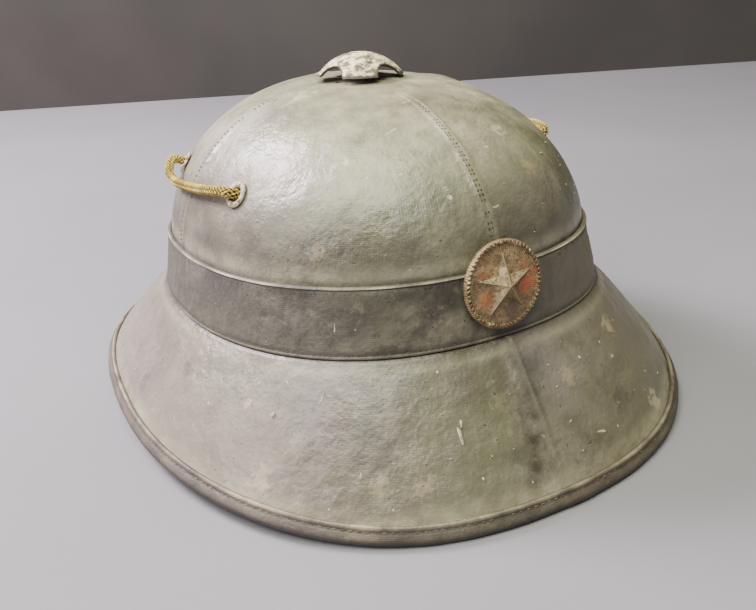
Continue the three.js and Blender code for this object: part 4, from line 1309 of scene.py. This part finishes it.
def cap_paint():
    paint = Paint("cap_paint", roughness=0.5, specular=0.5)
    base = paint.mottle((0.13, 0.11, 0.07), (0.92, 0.86, 0.54), 0.4, 0.56, 150, 5, 0.65)
    base = paint.mottle(base, (0.46, 0.4, 0.2), 0.54, 0.7, 90, 5, 0.65, 0.5, strength=0.6)
    chips = paint.ramp(paint.noise(260, 6, 0.72, 0.5), 0.52, 0.57, 0, 0.85)
    # Dark where the paint is chipped to bare metal, and over the inner face as painted shade
    worn = paint.painted("wear")
    ragged = paint.minus(worn, paint.times(paint.noise(480, 4, 0.7), 0.7))
    edge = paint.ramp(ragged, 0.3, 0.5)
    bare = paint.larger(chips, edge)
    color = paint.mix(bare, base, (0.06, 0.046, 0.033))
    rough = paint.ramp(bare, 0, 1, 0.42, 0.75)
    height = paint.total((bare, -0.6), (paint.noise(520, 3), 0.35))
    return paint.finish(color, rough, height, depth=0.35 * MM)


def eyelet_paint():
    paint = Paint("eyelet_paint", roughness=0.45, specular=0.5)
    base = paint.mottle((0.34, 0.30, 0.20), (0.60, 0.55, 0.41), 0.35, 0.7, 300, 4)
    rust = paint.ramp(paint.noise(420, 5, 0.7, 0.3), 0.5, 0.6)
    color = paint.mix(rust, base, (0.17, 0.085, 0.035))
    height = paint.total((rust, 0.5), (paint.noise(1500, 2), 1))
    return paint.finish(color, paint.ramp(rust, 0, 1, 0.4, 0.85), height, depth=0.12 * MM)


def badge_tarnish(paint, brown, bright):
    """Brown tarnish with patches of bare bright metal, darker at the edge and towards the foot."""
    point, _ = badge_seat()
    color = paint.mottle(brown, bright, 0.38, 0.62, 240, 6, 0.7)
    color = paint.mottle(color, (0.05, 0.032, 0.02), 0.48, 0.66, 900, 4, 0.65, strength=0.75)
    inner = paint.near(point + np.array((-1.5, 0, 2)) * MM, 11.5 * MM, ragged=0.25, soft=0.45)
    color = paint.mix(paint.times(paint.minus(1.0, inner), 0.35), color, (0.06, 0.04, 0.026))
    low = paint.near(point + np.array((5, 0, -10)) * MM, 17 * MM, ragged=0.6, soft=0.7)
    return paint.mix(paint.times(low, 0.7), color, (0.07, 0.048, 0.036))


def plate_paint():
    """Tarnished field with fine rays and remains of red enamel on both sides."""
    paint = Paint("badge_plate", roughness=0.5, metallic=0.3, specular=0.7)
    point, _ = badge_seat()
    color = badge_tarnish(paint, (0.36, 0.235, 0.12), (0.74, 0.52, 0.25))
    remains = (
        ((10, -2, -0.5), 7, 1.0), ((-8.5, -3, 6), 5, 0.5), ((-8.5, -3, -3), 5.5, 0.7), ((9, -2, 7), 4, 0.5),
    )
    red = None
    for off, radius, strength in remains:
        patch = paint.near(point + np.array(off) * MM, radius * MM, soft=0.7)
        patch = paint.times(patch, strength)
        red = patch if red is None else paint.larger(red, patch)
    color = paint.mix(red, color, (0.58, 0.12, 0.035))
    rays = paint.waves(0.62 * MM, "X", paint.lengths())
    color = paint.mix(paint.times(rays, 0.5), color, (0.07, 0.044, 0.026))
    height = paint.total((paint.noise(700, 4, 0.6), 1), (red, 0.6), (rays, -0.5))
    rough = paint.ramp(paint.noise(500, 3), 0.35, 0.7, 0.34, 0.58)
    return paint.finish(color, rough, height, depth=0.18 * MM, metallic=paint.ramp(red, 0, 1, 0.25, 0.0))


def star_paint():
    paint = Paint("badge_star", roughness=0.4, metallic=0.5, specular=0.7)
    color = badge_tarnish(paint, (0.36, 0.27, 0.15), (0.68, 0.53, 0.3))
    crest = paint.ramp(paint.painted("ridge"), 0.9, 0.99, 0, 0.6)
    color = paint.mix(crest, color, (0.62, 0.50, 0.32))
    height = paint.noise(900, 4, 0.6)
    return paint.finish(color, paint.ramp(paint.noise(600, 3), 0.3, 0.7, 0.3, 0.5), height, depth=0.1 * MM)


def bead_paint():
    paint = Paint("badge_beads", roughness=0.35, metallic=0.5)
    point, _ = badge_seat()
    # The beads are paler on the left: painted highlight; the noise patches are worn bare metal
    left = paint.near(point + np.array((-14, -2, 7)) * MM, 14 * MM, soft=0.8)
    left = paint.times(left, 0.8)
    worn = paint.larger(paint.ramp(paint.noise(300, 3, 0.6), 0.5, 0.64, 0, 0.55), left)
    color = paint.mix(worn, (0.2, 0.135, 0.07), (0.78, 0.64, 0.4))
    color = paint.mottle(color, (0.06, 0.038, 0.022), 0.48, 0.62, 1100, 3, strength=0.75)
    return paint.finish(color, paint.ramp(worn, 0, 1, 0.5, 0.3), paint.noise(1400, 3), depth=0.08 * MM)


def hidden_metal():
    paint = Paint("hidden_metal", roughness=0.45, metallic=0.9)
    color = paint.mottle((0.25, 0.23, 0.2), (0.45, 0.43, 0.4), 0.35, 0.65, 300, 4)
    rough = paint.ramp(paint.noise(500, 3), 0.3, 0.7, 0.35, 0.6)
    return paint.finish(color, rough, paint.noise(1200, 3), depth=0.05 * MM)


# Floor, and a wall behind

def floor_paint():
    paint = Paint("floor", roughness=0.7, specular=0.25)
    color = paint.mottle((0.215, 0.212, 0.23), (0.24, 0.237, 0.257), 0.3, 0.7, 3, 3)
    return paint.finish(color, None, paint.noise(400, 3), depth=0.05 * MM)


def wall_paint():
    paint = Paint("backdrop", roughness=0.85, specular=0.1)
    color = paint.mottle((0.05, 0.047, 0.045), (0.064, 0.06, 0.056), 0.3, 0.7, 4, 3)
    return paint.finish(color, None, paint.noise(500, 3), depth=0.05 * MM)


def add_floor():
    """A plain pale floor and, some way behind the helmet, a plain grey wall."""
    turn = CAMERA_AZIMUTH
    away = np.array([-math.sin(turn), math.cos(turn)])
    side = np.array([math.cos(turn), math.sin(turn)])

    def sheet_of(name, reach, material):
        across = (-FLOOR_REACH, 0, FLOOR_REACH)
        grid = np.array([[[*(side * x + away * y), z] for y, z in reach] for x in across])
        return grid_object(name, grid, material, around=False, along=False, body=None, sharp=180)

    floor = sheet_of("floor", [(-FLOOR_REACH, 0), (0, 0), (WALL_DISTANCE + 0.05, 0)], floor_paint())
    standing = [(WALL_DISTANCE, z) for z in (-0.01, 1, 2)]
    wall = sheet_of("backdrop", standing, wall_paint())


add_camera()
# The cord's core, seen only in the gaps between strands, is near black: painted shade in the gaps
make_cord(cord_paint(), thread_paint("cord_core", (0.06, 0.04, 0.015), (0.03, 0.02, 0.008)))
add_floor()
add_lights()

make_crown(worn_cloth("crown_cloth", CLOTH_TONES, stains(CROWN_MARKS, crown_place)))
make_brim(worn_cloth(
    "brim_cloth", BRIM_TONES, stains(BRIM_MARKS, brim_place), dust=1.0, weave=0.04, pebble=0.4))
make_binding(worn_cloth("binding_cloth", TAPE_TONES, dust=0.6, weave=0.12, roughness=0.65))
make_band(worn_cloth("band_cloth", BAND_TONES, stains(BAND_MARKS, band_place), weave=0.08, roughness=0.6))
make_stitches(
    thread_paint("seam_thread", (0.10, 0.082, 0.05), (0.035, 0.027, 0.016)),
    thread_paint("tape_thread", (0.20, 0.16, 0.10), (0.085, 0.062, 0.038)),
)
make_specks(thread_paint("pale_chips", (0.56, 0.50, 0.37), (0.30, 0.26, 0.18)))
make_badge(plate_paint(), star_paint(), bead_paint())
make_vent_cap(cap_paint())
make_eyelets(eyelet_paint())

plain_metal = hidden_metal()
for node in ("badge_post", "vent_post"):
    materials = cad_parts[node].data.materials
    materials.clear()
    materials.append(plain_metal)
